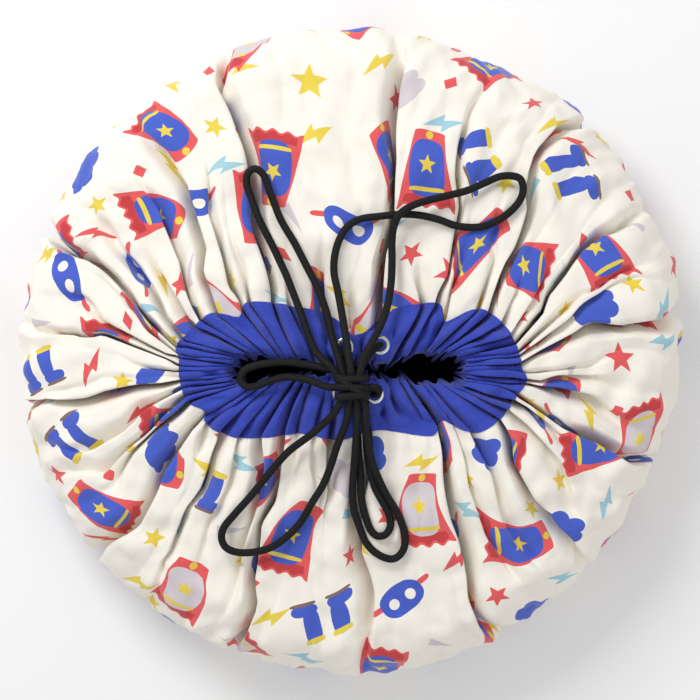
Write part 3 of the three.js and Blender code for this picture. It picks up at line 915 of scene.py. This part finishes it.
    def _spare_lengths(self, radius: float, shares: np.ndarray, run: np.ndarray) -> np.ndarray:
        """How much of the cloth's length each fold takes up on the ring of that radius."""
        spare = []
        main = np.zeros(len(self.panels))
        small = []
        for i, panel in enumerate(self.panels):
            end = self.panels[(i + 1) % len(self.panels)][0].share + (i == len(self.panels) - 1)
            start_run, end_run = np.interp([panel[0].share, end], shares, run)
            snug = 1 + 0.035 * np.clip((0.47 - radius) / 0.1, 0, 1)
            hidden = max(radius * TURN * (end - panel[0].share) - (end_run - start_run) * snug, 0.0)
            opened = [np.clip((radius - f.start) / (self.flat_radius - f.start), 0, 1) for f in panel[1:]]
            parts = [f.weight * o * o * (3 - 2 * o) for f, o in zip(panel[1:], opened)]
            bounds = (panel[0], self.panels[(i + 1) % len(self.panels)][0])
            grown = [float(np.clip((radius - f.start) / 0.12, 0, 1)) for f in bounds]
            ends = [f.weight * (0.04 + 0.96 * g) for f, g in zip(bounds, grown)]
            total = sum(parts) + sum(ends) / 2
            main[i] += hidden * ends[0] / 2 / total
            main[(i + 1) % len(self.panels)] += hidden * ends[1] / 2 / total
            small.append([hidden * part / total for part in parts])
        for i, panel in enumerate(self.panels):
            spare += [main[i], *small[i]]
        return np.array(spare)

    def _lay_ring(
        self,
        radius: float,
        shares: np.ndarray,
        run: np.ndarray,
        place: np.ndarray,
        after: np.ndarray,
        half: np.ndarray,
        lean: np.ndarray,
        depth: np.ndarray,
    ) -> tuple[np.ndarray, np.ndarray]:
        """Puts the folds on one ring and finds the cloth's angle at each of its points."""
        length = run[-1]
        dip = self._dip(FOLD_POINTS)
        along, down, aside, anchors = [], [], [], []
        count = len(place)
        first_of_panel = {sum(len(p) for p in self.panels[:i]) for i in range(len(self.panels))}
        for k in range(count):
            if k in first_of_panel:
                anchors.append(len(along) + len(FOLD_POINTS) // 2)
            along += list(place[k] + FOLD_POINTS * half[k])
            down += list(depth[k] * dip)
            aside += list(lean[k] * depth[k] * dip)
            start = place[k] + 2 * half[k]
            end = after[k] - 2 * half[(k + 1) % count]
            for i in range(1, self.between + 1):
                along.append(start + (end - start) * i / (self.between + 1))
                down.append(0.0)
                aside.append(0.0)
        along, down, aside = np.array(along), np.array(down), np.array(aside)
        span = after - place
        left = np.searchsorted(place, along, side="right") - 1
        start = np.where(left < 0, place[-1] - length, place[left])
        width = span[left]
        middle = np.clip((along - start) / width, 0, 1)
        swell = np.interp(radius, [self.wrinkles_from, 0.36, 0.46], [0.0, 0.35, 1.0])
        puff = np.minimum(0.07 * width, 0.0075) * swell
        puff = puff * np.interp(radius, [0.60, 0.66], [1.0, 0.45])
        out = puff * (1 - (2 * middle - 1) ** 2) - down
        share = np.interp((along + aside) % length, run, shares)
        points, normals = self.smooth_shape(share, radius)
        points = points + normals * out[:, None]
        angle = self._cloth_angles(points, anchors)
        points = points + normals * self._wrinkles(radius, angle)[:, None]
        points[:, 2] = np.maximum(points[:, 2], self.floor_gap)
        return points, angle

    def _cloth_angles(self, points: np.ndarray, anchors: list[int]) -> np.ndarray:
        """The flat cloth's angle at each point: true at the main folds, and by length between them."""
        step = np.linalg.norm(np.roll(points, -1, 0) - points, axis=1)
        angle = np.zeros(len(points))
        for i, first in enumerate(anchors):
            last = anchors[(i + 1) % len(anchors)] + (len(points) if i == len(anchors) - 1 else 0)
            index = np.arange(first, last) % len(points)
            run = np.concatenate([[0], np.cumsum(step[index])])
            start = self.panels[i][0].share
            end = self.panels[(i + 1) % len(self.panels)][0].share + (i == len(self.panels) - 1)
            angle[index] = TURN * (start + (end - start) * run[:-1] / run[-1])
        return angle

    def _wrinkles(self, radius: float, angle: np.ndarray) -> np.ndarray:
        """Fine unevenness, longer along the folds than across them."""
        x, y = radius * np.cos(angle), radius * np.sin(angle)
        total = np.zeros(len(angle))
        for i, (frequency, heading, phase) in enumerate(self.waves):
            wave = np.sin(frequency * (x * math.cos(heading) + y * math.sin(heading)) + phase)
            total += wave if i % 3 else 1 - 2.2 * np.abs(wave)
        total *= self.wave_size + self.seam_wave_size * float(np.clip((radius - 0.62) / 0.03, 0, 1))
        for frequency, heading, phase in self.swells:
            wave = np.sin(frequency * (x * math.cos(heading) + y * math.sin(heading)) + phase)
            total += self.swell_size * wave
        for crease in self.creases:
            total += crease.sink(x, y)
        return total * float(np.clip((radius - self.wrinkles_from) / 0.08, 0, 1))

    def canvas_rings(self) -> np.ndarray:
        """The flat radii of the canvas's rings, from the middle of the base to the seam."""
        base = [0.004, 0.06, 0.13, 0.19, 0.23]
        return np.array([*base, *np.linspace(0.255, self.seam_radius, 66)])

    def band_rings(self) -> np.ndarray:
        """The flat radii of the casing's rings."""
        return np.linspace(self.seam_radius - 0.002, self.flat_radius, 13)


@dataclass
class ClothNet:
    """Rings of cloth points, all with the same number of points, as a grid of faces."""

    radii: np.ndarray
    points: np.ndarray
    angles: np.ndarray

    @classmethod
    def of(cls, cloth: GatheredCloth, radii: np.ndarray) -> "ClothNet":
        """Gathers these rings of the cloth."""
        rows = [cloth.ring(float(r)) for r in radii]
        return cls(radii, np.array([r[0] for r in rows]), np.array([r[1] for r in rows]))

    def normals(self) -> np.ndarray:
        """The outward normal at each point."""
        around = np.roll(self.points, -1, 1) - np.roll(self.points, 1, 1)
        up = np.gradient(self.points, axis=0)
        normal = np.cross(around, up)
        size = np.linalg.norm(normal, axis=-1, keepdims=True)
        return normal / np.maximum(size, 1e-12)

    def raised(self, height: float) -> "ClothNet":
        """The same rings moved out along their normals."""
        return ClothNet(self.radii, self.points + self.normals() * height, self.angles)

    def faces(self) -> np.ndarray:
        """The grid's faces, facing outwards."""
        rows, columns = self.points.shape[:2]
        i, j = np.meshgrid(np.arange(rows - 1), np.arange(columns), indexing="ij")
        k = (j + 1) % columns
        corners = [i * columns + j, i * columns + k, (i + 1) * columns + k, (i + 1) * columns + j]
        return np.stack(corners, -1).reshape(-1, 4)

    def flat(self) -> np.ndarray:
        """Where each point was on the flat cloth."""
        radius = self.radii[:, None]
        return np.stack([radius * np.cos(self.angles), radius * np.sin(self.angles)], -1)


@dataclass
class Bag:
    """The cloth of the bag: printed canvas, a near-black lining whose colour also paints the shade inside,
    blue casing and their stitching.
    """

    finishes: Finishes
    cords: list[np.ndarray]
    cord_radius: float = CORD_RADIUS
    cloth: GatheredCloth = field(default_factory=GatheredCloth)
    stretch_low: float = 0.004  # the lower of two heights on the cloth
    stretch_high: float = 0.150  # the upper of the two heights
    top_from: float = 0.10  # only cloth above this height gives way
    stretch_points: int = 40  # the cord is taken in stretches of this many points
    stretch_size: float = 0.12  # and cloth further than this from a stretch's middle is left alone
    yield_reach: float = 2.6  # how far beside a cord the cloth gives way, in cord radii
    yield_rise: float = 0.006
    cord_gap: float = 0.0006
    pressed_level: float = 0.1607  # the height of the cloth under the eyelets' flanges
    pressed_reach: float = 0.019
    pressed_slope: float = 0.006
    floor_gap: float = 0.0022  # the lowest the lining lies
    lining_inset: float = 0.0005
    casing_out: float = 0.0008  # how far the casing's outer layer lies outside the cloth's middle
    casing_in: float = 0.0012
    layer_shift: float = 0.06  # keeps the inner layer's map off the outer layer's
    stitch_out: float = 0.0010
    stitch_rows: Sequence[float] = (0.0025, 0.0075)  # from the seam
    rim_row: float = 0.006  # from the rim
    join_rows: Sequence[float] = (0.4945, 0.4965)  # where the casing's ends meet, in shares of a turn

    def make(self) -> None:
        """Makes every cloth piece."""
        eyelets = [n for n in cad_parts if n.startswith("eyelet_") and "washer" not in n]
        self.eyelets = [middle_of(n) for n in eyelets]
        self.canvas_net = self.yielding(ClothNet.of(self.cloth, self.cloth.canvas_rings()))
        self.band_net = self.yielding(ClothNet.of(self.cloth, self.cloth.band_rings()))
        self.make_canvas()
        self.make_lining()
        self.make_band()
        self.make_stitches()

    def yielding(self, net: ClothNet) -> ClothNet:
        """Lets the cloth give way under the cords, and lie flat under the eyelets' flanges."""
        points = net.points.reshape(-1, 3)
        high = points[:, 2] > self.top_from
        reach = self.cord_radius * self.yield_reach
        for line in self.cords:
            for start in range(0, len(line), self.stretch_points):
                piece = line[start : start + self.stretch_points + 1]
                near = high & (np.abs(points[:, :2] - piece[:, :2].mean(0)).max(1) < self.stretch_size)
                index = np.flatnonzero(near)
                if not len(index):
                    continue
                gap = np.linalg.norm(points[index, None, :2] - piece[None, :, :2], axis=-1)
                closest = gap.argmin(1)
                gap = gap.min(1)
                droop = np.clip(gap / reach, 0, 1) ** 2 * self.yield_rise
                ceiling = piece[closest, 2] - self.cord_radius - self.cord_gap + droop
                lowered = np.minimum(points[index, 2], ceiling)
                points[index, 2] = np.where(gap < reach, lowered, points[index, 2])
        for centre in self.eyelets:
            gap = np.linalg.norm(points[:, :2] - centre[:2], axis=1)
            share = np.clip((self.pressed_reach - gap) / self.pressed_slope, 0, 1) * high
            share = share * share * (3 - 2 * share)
            points[:, 2] += (self.pressed_level - points[:, 2]) * share
        return ClothNet(net.radii, points.reshape(net.points.shape), net.angles)

    def add_net(self, name: str, net: ClothNet, material: bpy.types.Material) -> bpy.types.Object:
        """Makes an object of a net, with the flat cloth as its map."""
        faces = net.faces()
        flat = net.flat().reshape(-1, 2)
        return add_mesh(name, net.points.reshape(-1, 3), faces, material, flat[faces].reshape(-1, 2))

    def across_neck(self, piece: bpy.types.Object) -> None:
        """Bakes a piece's transform into its mesh."""
        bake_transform(piece)

    def make_canvas(self) -> None:
        """The printed disc, from the middle of the base to the seam."""
        canvas = self.add_net("printed_canvas", self.canvas_net, self.finishes.canvas)
        nodes = [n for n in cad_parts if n.startswith("canvas_")]
        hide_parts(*nodes)
        self.across_neck(canvas)
        log.info("printed canvas: %d faces", len(canvas.data.polygons))

    def make_lining(self) -> None:
        """The cloth inside, near-black: a guessed colour made this dark so that it also paints the deep shade
        in the bag's mouth.
        """
        net = self.canvas_net.raised(-self.lining_inset)
        points = net.points.reshape(-1, 3)
        points[:, 2] = np.maximum(points[:, 2], self.floor_gap)
        lining = self.add_net("lining_dark_as_painted_shade", net, self.finishes.lining)
        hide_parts("lining")
        self.across_neck(lining)

    def make_band(self) -> None:
        """The casing: an outer layer from the seam to the rim, folded back inside."""
        outer = self.band_net.raised(self.casing_out)
        inner = self.band_net.raised(-self.casing_in)
        points = np.concatenate([outer.points, inner.points[::-1]])
        radii = np.concatenate([outer.radii, inner.radii[::-1] + self.layer_shift])
        angles = np.concatenate([outer.angles, inner.angles[::-1]])
        net = ClothNet(radii, points, angles)
        band = self.add_net("blue_casing", net, self.finishes.band)
        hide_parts(*[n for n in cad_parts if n.startswith("band_")])
        self.across_neck(band)

    def make_stitches(self) -> None:
        """Two rows round the seam, one near the rim, and a double row where the casing's ends are joined."""
        surface = self.band_net.raised(self.stitch_out).points
        rows = []
        radii = [self.cloth.seam_radius + off for off in self.stitch_rows]
        for radius in (*radii, self.cloth.flat_radius - self.rim_row):
            place = float(np.interp(radius, self.band_net.radii, np.arange(len(self.band_net.radii))))
            low = int(place)
            ring = surface[low] + (surface[low + 1] - surface[low]) * (place - low)
            rows.append(np.vstack([ring, ring[:1]]))
        share = (self.band_net.angles[0] / TURN) % 1
        for join in self.join_rows:
            column = int(np.abs(share - join).argmin())
            rows.append(surface[:, column])
        stitches = Stitching(self.finishes.thread).make("seam_stitches", rows)
        self.across_neck(stitches)


# ---------------------------------------------------------------- stitching


@dataclass
class Stitching:
    """Rows of short stitches laid along lines on the cloth by Geometry Nodes."""

    material: bpy.types.Material
    pitch: float = 0.0036
    length: float = 0.0027
    thickness: float = 0.0007

    def tree(self) -> bpy.types.NodeTree:
        """Builds the node group.

        Returns:
            A group that takes lines of edges and gives stitches of the group's length and thickness.
        """
        tree = bpy.data.node_groups.new("stitch_rows", "GeometryNodeTree")
        sockets = tree.interface
        sockets.new_socket("Lines", in_out="INPUT", socket_type="NodeSocketGeometry")
        for name in ("Pitch", "Length", "Thickness"):
            sockets.new_socket(name, in_out="INPUT", socket_type="NodeSocketFloat")
        sockets.new_socket("Stitches", in_out="OUTPUT", socket_type="NodeSocketGeometry")
        given = tree.nodes.new("NodeGroupInput")
        result = tree.nodes.new("NodeGroupOutput")

        def add(kind: str, links: dict, **settings: object) -> bpy.types.Node:
            """Adds a node, sets it, and links sockets into it."""
            node = tree.nodes.new(kind)
            for name, value in settings.items():
                setattr(node, name, value)
            for key, value in links.items():
                if isinstance(value, Socket):
                    tree.links.new(value, node.inputs[key])
                else:
                    node.inputs[key].default_value = value
            return node

        line = add("GeometryNodeMeshToCurve", {"Mesh": given.outputs["Lines"]})
        places = add(
            "GeometryNodeResampleCurve",
            {"Curve": line.outputs[0], "Length": given.outputs["Pitch"]},
            mode="LENGTH",
        )
        tangent = add("GeometryNodeInputTangent", {})
        turn = add("FunctionNodeAlignRotationToVector", {"Vector": tangent.outputs[0]}, axis="X")
        thread = add("GeometryNodeMeshIcoSphere", {"Radius": 0.5, "Subdivisions": 1})
        size = add(
            "ShaderNodeCombineXYZ",
            {"X": given.outputs["Length"], "Y": given.outputs["Thickness"], "Z": given.outputs["Thickness"]},
        )
        stitches = add(
            "GeometryNodeInstanceOnPoints",
            {
                "Points": places.outputs[0],
                "Instance": thread.outputs[0],
                "Rotation": turn.outputs[0],
                "Scale": size.outputs[0],
            },
        )
        solid = add("GeometryNodeRealizeInstances", {"Geometry": stitches.outputs[0]})
        finish = add("GeometryNodeSetMaterial", {"Geometry": solid.outputs[0], "Material": self.material})
        tree.links.new(finish.outputs[0], result.inputs[0])
        return tree

    def make(self, name: str, lines: Sequence[np.ndarray]) -> bpy.types.Object:
        """Lays stitches along these lines.

        Args:
            name: the object's name.
            lines: rows of points on the cloth.

        Returns:
            One plain mesh object of all the stitches.
        """
        points = np.vstack(lines)
        edges, base = [], 0
        for line in lines:
            edges += [(base + i, base + i + 1) for i in range(len(line) - 1)]
            base += len(line)
        mesh = bpy.data.meshes.new(name + "_lines")
        mesh.from_pydata(points.tolist(), edges, [])
        guide = bpy.data.objects.new(name + "_lines", mesh)
        bpy.context.scene.collection.objects.link(guide)
        tree = self.tree()
        modifier = guide.modifiers.new("stitches", "NODES")
        modifier.node_group = tree
        values = {"Pitch": self.pitch, "Length": self.length, "Thickness": self.thickness}
        for item in tree.interface.items_tree:
            if item.in_out == "INPUT" and item.name in values:
                modifier[item.identifier] = values[item.name]
        graph = bpy.context.evaluated_depsgraph_get()
        made = bpy.data.meshes.new_from_object(guide.evaluated_get(graph))
        made.name = name
        bpy.data.objects.remove(guide)
        bpy.data.meshes.remove(mesh)
        bpy.data.node_groups.remove(tree)
        piece = bpy.data.objects.new(name, made)
        bpy.context.scene.collection.objects.link(piece)
        log.info("%s: %d faces", name, len(made.polygons))
        return piece


# ---------------------------------------------------------------- cord and eyelets

# The middle line of each loop, from the knot and back to it, in millimetres.
LOOP_ROUTES = {
    "loop_northwest": (
        (-17, -18.8, 178), (-24, -12, 176.5), (-33, -3, 172.5), (-41, 14, 169), (-49, 37, 166.2),
        (-56, 55, 161.5), (-63, 73, 157), (-76, 101, 154), (-90, 129, 152), (-99, 152, 150.5),
        (-104, 168, 149.5), (-102, 178, 149), (-95, 182, 149), (-87, 176, 149.5), (-80, 158, 150.5),
        (-69, 130, 152), (-56, 108, 154), (-44, 85, 157), (-32, 61, 160.5), (-23, 36, 165.5),
        (-17, 10, 171.5), (-12, -6, 176), (-8, -18.8, 178),
    ),
    "loop_northeast": (
        (1, -21.1, 186.5), (-1, -8, 185.5), (-4, 12, 181.5), (-8, 36, 175.5), (-12, 58, 168.5),
        (-16, 78, 162.5), (-15, 96, 158.5), (-10, 112, 156), (-2, 124, 154.5), (10, 131, 153.5),
        (30, 134, 152.5), (52, 136, 152.5), (70, 135, 152.5), (88, 131, 152), (105, 125, 151.5),
        (122, 123, 150.5), (137, 125, 149.5), (150, 131, 148.5), (162, 140, 147.5), (171, 151, 147),
        (174, 162, 146.5), (171, 172, 146), (162, 175, 146.5), (150, 174, 147.5), (136, 168, 149.5),
        (118, 160, 152.5), (100, 155, 156.5), (80, 150, 160.5), (62, 144, 162.5), (50, 136, 162.5),
        (44, 124, 160.5), (42, 109, 158.5), (42, 88, 159.5), (41, 67, 163), (38, 47, 167),
        (32, 28, 173), (22, 8, 180.5), (13, -8, 185), (10, -21.1, 186.5),
    ),
    "loop_southwest": (
        (-11, -55.2, 178), (-16, -63, 176.5), (-25, -72, 174), (-40, -85, 169.5), (-62, -102, 163),
        (-83, -126, 156.5), (-100, -147, 153), (-116, -165, 150.5), (-127, -179, 148.5),
        (-129, -189, 147.5), (-125, -198, 147), (-114, -203, 147), (-97, -203, 147.5), (-79, -198, 148),
        (-63, -187, 149), (-49, -172, 150.5), (-38, -153, 153), (-27, -135, 156), (-19, -115, 160),
        (-13, -96, 165.5), (-6, -78, 172), (-2.5, -66, 176.5), (-1.5, -55.2, 178),
    ),
    "loop_south_outer": (
        (15.2, -55.2, 178), (15.8, -74, 176), (18, -94, 169.5), (24, -117, 162.5), (35, -142, 154.5),
        (47, -163, 149.5), (54, -181, 147.5), (55, -196, 147), (50, -206, 146.5), (42, -210, 146.5),
        (28.5, -205.5, 147), (16.5, -194, 147.5), (9, -176, 148.5), (4, -161, 149.5), (2.5, -145, 152),
        (3, -128, 157), (4.5, -109, 164.5), (6, -88, 171.5), (6.9, -72, 176.5), (6.9, -55.2, 178),
    ),
    "loop_south_inner": (
        (14.7, -53.3, 169.5), (15, -62, 168.5), (15.4, -74, 167), (16.5, -94, 161), (19.5, -117, 154.5),
        (25, -138, 152), (33, -153, 150.5), (39.5, -166, 149), (40.5, -177, 148), (36, -185, 147.5),
        (28.5, -187, 147.5), (22, -182.5, 148), (17.5, -173, 149), (13.5, -159, 150.5), (11, -144, 152),
        (10.6, -128, 153.5), (9, -109, 156.5), (7.6, -88, 162.5), (6.4, -72, 167.5), (6.2, -53.3, 169.5),
    ),
    "loop_west": (
        (-20.6, -37, 177.7), (-28, -35, 175.5), (-38, -31, 171.5), (-50, -28, 168.5), (-66, -27, 166.5),
        (-80, -31, 165.8), (-94, -36, 165.8), (-103, -36.5, 165.8), (-109, -30, 165.8),
        (-106, -21, 165.8), (-96, -16, 165.8), (-80, -13, 165.8), (-64, -12, 165.8), (-48, -14, 166.2),
        (-34, -16, 167), (-23, -18.5, 168.5), (-13, -20.5, 169.5),
    ),
}
LOOP_BODIES = {
    "loop_northwest": Body.LOOP_NORTHWEST,
    "loop_northeast": Body.LOOP_NORTHEAST,
    "loop_southwest": Body.LOOP_SOUTHWEST,
    "loop_south_outer": Body.LOOP_SOUTH,
    "loop_south_inner": Body.LOOP_SOUTH,
    "loop_west": Body.NECK,
}
# The cord from the knot to each eyelet, in millimetres. The southwest one needs no points of its own.
KNOT_LEADS = {
    "east_north": (
        (10, -23.8, 170.8), (10, -20.6, 169.2), (13.5, -13, 167.3), (20.5, -2.5, 168.6), (27.2, 3.3, 168),
    ),
    "west_north": (
        (-4, -23.8, 170.8), (-4, -20.4, 169.1), (-4, -11, 167.2), (-4.4, -4, 167.6), (-5.2, 1.2, 166.4),
    ),
    "east_south": (
        (20.5, -37, 177.7), (24.5, -37, 177.5), (28.5, -38.8, 175), (28.4, -42, 171), (25.4, -43.8, 167),
    ),
    "west_south": (),
}
# The knot's three turns: how far each lies from the middle, and its slant.
KNOT_TURNS = ((-0.0083, 0.10), (0.0, -0.06), (0.0083, 0.05))
# The strand over the knot, from its middle.
KNOT_STRAND = (
    (-0.0140, 0.0105, -0.001), (-0.0110, 0.0085, 0.0068), (-0.003, 0.002, 0.0098),
    (0.006, -0.004, 0.0096), (0.0125, -0.0085, 0.0062), (0.0142, -0.0100, -0.003),
)


def metres(points: Sequence[Point]) -> list[list[float]]:
    """Points given in millimetres, in metres."""
    return [[c / 1000 for c in p] for p in points]


@dataclass
class Drawcord:
    """The cord: two runs inside the casing, the knot, and the loops of the bow."""

    finishes: Finishes
    radius: float = CORD_RADIUS
    step: float = 0.0022
    tuck: float = 0.0008
    casing_level: float = 0.118  # the height of the cord in the casing
    casing_inset: float = 0.0074  # how far inside the casing's middle line it runs
    clear_of_eyelet: float = 0.02  # how far from an eyelet it is level

    def routes(self) -> dict[str, np.ndarray]:
        """The middle line of each loop, in metres."""
        return {name: smooth_route(metres(points), self.step) for name, points in LOOP_ROUTES.items()}

    def make(self) -> None:
        """Makes the loops, the knot and the runs in the casing."""
        self.make_knot()
        for name, line in self.routes().items():
            self.make_loop(name, line)
        for name, side in (("east", 1), ("west", -1)):
            self.make_casing_run(name, side)

    def tube(self, name: str, line: np.ndarray) -> bpy.types.Object:
        """One round-ended length of cord."""
        points, faces, uv = tube_parts(line, self.radius)
        return add_mesh(name, points, faces, self.finishes.cord, uv, "cord")

    def make_loop(self, name: str, line: np.ndarray) -> None:
        """One loop of the bow, tucked a little way into the knot at both ends."""
        before = line[0] + (line[0] - line[1]) / self.step * self.tuck
        after = line[-1] + (line[-1] - line[-2]) / self.step * self.tuck
        line = np.vstack([before, line, after])
        piece = self.tube("cord_" + name, line)
        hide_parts(name)
        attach(piece, LOOP_BODIES[name].value)

    def make_knot(self) -> None:
        """Three turns of cord round the loops' ends, the ends inside them, and a strand over them."""
        low, high = (np.array(c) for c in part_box("drawcord_knot"))
        centre = (low + high) / 2
        half = (high - low) / 2 - self.radius
        points, faces, uv = [], [], []
        angles = np.linspace(0, TURN, 61)
        for shift, tilt in KNOT_TURNS:
            wide = np.sign(np.cos(angles)) * np.abs(np.cos(angles)) ** 0.62 * half[0]
            tall = np.sign(np.sin(angles)) * np.abs(np.sin(angles)) ** 0.8 * half[2] * 0.92
            line = np.stack([wide, shift + wide * tilt, tall], -1) + centre
            self._collect(points, faces, uv, line)
        for loop in self.routes().values():
            for end in (loop[0], loop[-1]):
                inward = centre + (end - centre) * (0.55, 0.25, 0.45)
                middle = (end + inward) / 2 + (0, 0, 0.0006)
                self._collect(points, faces, uv, smooth_route([end, middle, inward], self.step))
        line = smooth_route([centre + p for p in KNOT_STRAND], self.step)
        self._collect(points, faces, uv, line)
        points, uv = np.vstack(points), np.vstack(uv)
        knot = add_mesh("drawcord_knot_turns", points, faces, self.finishes.cord, uv, "cord")
        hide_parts("drawcord_knot")
        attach(knot, Body.NECK.value)

    def _collect(self, points: list, faces: list, uv: list, line: np.ndarray) -> None:
        """Adds one tube to a piece made of several."""
        more, quads, places = tube_parts(line, self.radius)
        base = sum(len(p) for p in points)
        points.append(more)
        faces += [tuple(base + v for v in face) for face in quads]
        uv.append(places)

    def make_casing_run(self, name: str, side: int) -> None:
        """The cord from the knot through an eyelet, round one end of the mouth and up through the next."""
        which = "right" if side > 0 else "left"
        north, south = (middle_of(f"eyelet_{way}_{which}") for way in ("north", "south"))
        turns = np.linspace(0, 1, 13)[1:-1]
        quarter = -0.25 * side
        shares = np.concatenate([0.25 + quarter * turns, 0.25 + quarter + quarter * turns])
        path = GatheredCloth().outline(shares, -self.casing_inset)
        inside = [p for p in path if side * p[0] > side * north[0] + self.clear_of_eyelet]
        points = metres(KNOT_LEADS[f"{name}_north"])
        points += self._through(north, side)
        points += [[x, y, self.casing_level] for x, y in inside]
        points += self._through(south, side)[::-1]
        points += metres(KNOT_LEADS[f"{name}_south"])[::-1]
        piece = self.tube(f"casing_run_{name}", smooth_route(points, self.step))
        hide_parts(f"casing_cord_{name}")
        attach(piece, Body.NECK.value)

    def _through(self, eyelet: np.ndarray, side: int) -> list[list[float]]:
        """Points that carry the cord down through an eyelet and turn it level."""
        x, y, z = eyelet
        return [
            [x - side * 0.0004, y, z + 0.0024],
            [x + side * 0.0004, y, z - 0.002],
            [x + side * 0.0020, y, z - 0.014],
            [x + side * 0.0070, y, self.casing_level + 0.006],
        ]


@dataclass
class Eyelets:
    """The four eyelets. Each is a barrel with a rounded flange, and has its plain washer below the cloth."""

    finishes: Finishes
    bore: float = 0.0055
    flange: float = 0.0099
    lip: float = 0.0011  # the height of the flange's round
    wall: float = 0.001
    sides: int = 48

    def make(self) -> None:
        """Makes the eyelets and finishes their washers."""
        for name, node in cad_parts.items():
            if name.startswith("eyelet_washer_"):
                node.data.materials.clear()
                node.data.materials.append(self.finishes.metal)
            elif name.startswith("eyelet_"):
                self.make_eyelet(name)

    def make_eyelet(self, name: str) -> None:
        """One turned eyelet, closed all round."""
        low, high = (np.array(c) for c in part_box(name))
        centre = (low + high) / 2
        middle = (self.bore + self.flange) / 2
        dome = [
            (middle + (self.flange - middle) * math.cos(a), high[2] - self.lip + self.lip * math.sin(a))
            for a in np.linspace(0, math.pi, 11)
        ]
        outside = self.bore + self.wall
        profile = [*dome, (self.bore, low[2]), (outside, low[2]), (outside, high[2] - self.lip - 0.0001)]
        angles = TURN * np.arange(self.sides) / self.sides
        points = [
            (centre[0] + r * math.cos(a), centre[1] + r * math.sin(a), z) for a in angles for r, z in profile
        ]
        count = len(profile)
        faces = []
        for i in range(self.sides):
            row, next_row = i * count, (i + 1) % self.sides * count
            for j in range(count):
                k = (j + 1) % count
                faces.append((next_row + j, next_row + k, row + k, row + j))
        piece = add_mesh("bright_" + name, np.array(points), faces, self.finishes.metal)
        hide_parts(name)
        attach(piece, Body.NECK.value)


# ---------------------------------------------------------------- studio


@dataclass(frozen=True)
class Studio:
    """A pale floor, soft light, and a camera straight above."""

    view_size: float = 0.7245  # the width of the floor that the camera sees
    distance: float = 2.6
    aim_height: float = 0.07
    lens: float = 100.0
    floor_half: float = 4.0
    sky: float = 0.60
    lamps: Sequence[tuple] = (  # name, place, size and power
        ("key", (-1.1, 1.5, 1.9), 1.1, 36.0),
        ("fill", (1.6, -1.0, 2.4), 2.0, 10.0),
    )

    def make(self) -> None:
        """Makes the floor, the lights and the camera."""
        scene = bpy.context.scene
        tree = ShaderTree("pale_floor")
        tree.constants({"Base Color": (0.93, 0.93, 0.93, 1), "Roughness": 0.9})
        corners = self.floor_half * np.array([(-1, -1, 0), (1, -1, 0), (1, 1, 0), (-1, 1, 0)])
        floor = add_mesh("floor", corners, [(0, 1, 2, 3)], tree.material)
        scene.view_settings.view_transform = "Standard"
        world = bpy.data.worlds.new("studio")
        scene.world = world
        world.use_nodes = True
        background = world.node_tree.nodes["Background"]
        background.inputs[0].default_value = (1, 1, 1, 1)
        background.inputs[1].default_value = self.sky
        for name, place, size, power in self.lamps:
            light = bpy.data.lights.new(name, "AREA")
            light.energy = power
            light.size = size
            lamp = bpy.data.objects.new(name, light)
            lamp.location = place
            lamp.rotation_mode = "QUATERNION"
            lamp.rotation_quaternion = (-Vector(place)).to_track_quat("-Z", "Y")
            scene.collection.objects.link(lamp)
        lens = bpy.data.cameras.new("camera")
        lens.lens = self.lens
        half_angle = math.atan(self.view_size / 2 / self.distance)
        lens.sensor_width = 2 * self.lens * math.tan(half_angle)
        camera = bpy.data.objects.new("camera", lens)
        camera.location = (0.0, 0.0, self.distance + self.aim_height)
        scene.collection.objects.link(camera)
        scene.camera = camera


def write_sizes() -> None:
    """Updates the view layer."""
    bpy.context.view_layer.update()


def main() -> None:
    """Builds the studio and every piece of the bag."""
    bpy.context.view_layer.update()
    Studio().make()
    finishes = Finishes()
    drawcord = Drawcord(finishes)
    drawcord.make()
    Eyelets(finishes).make()
    Bag(finishes, list(drawcord.routes().values())).make()
    write_sizes()


if __name__ == "__main__":
    main()
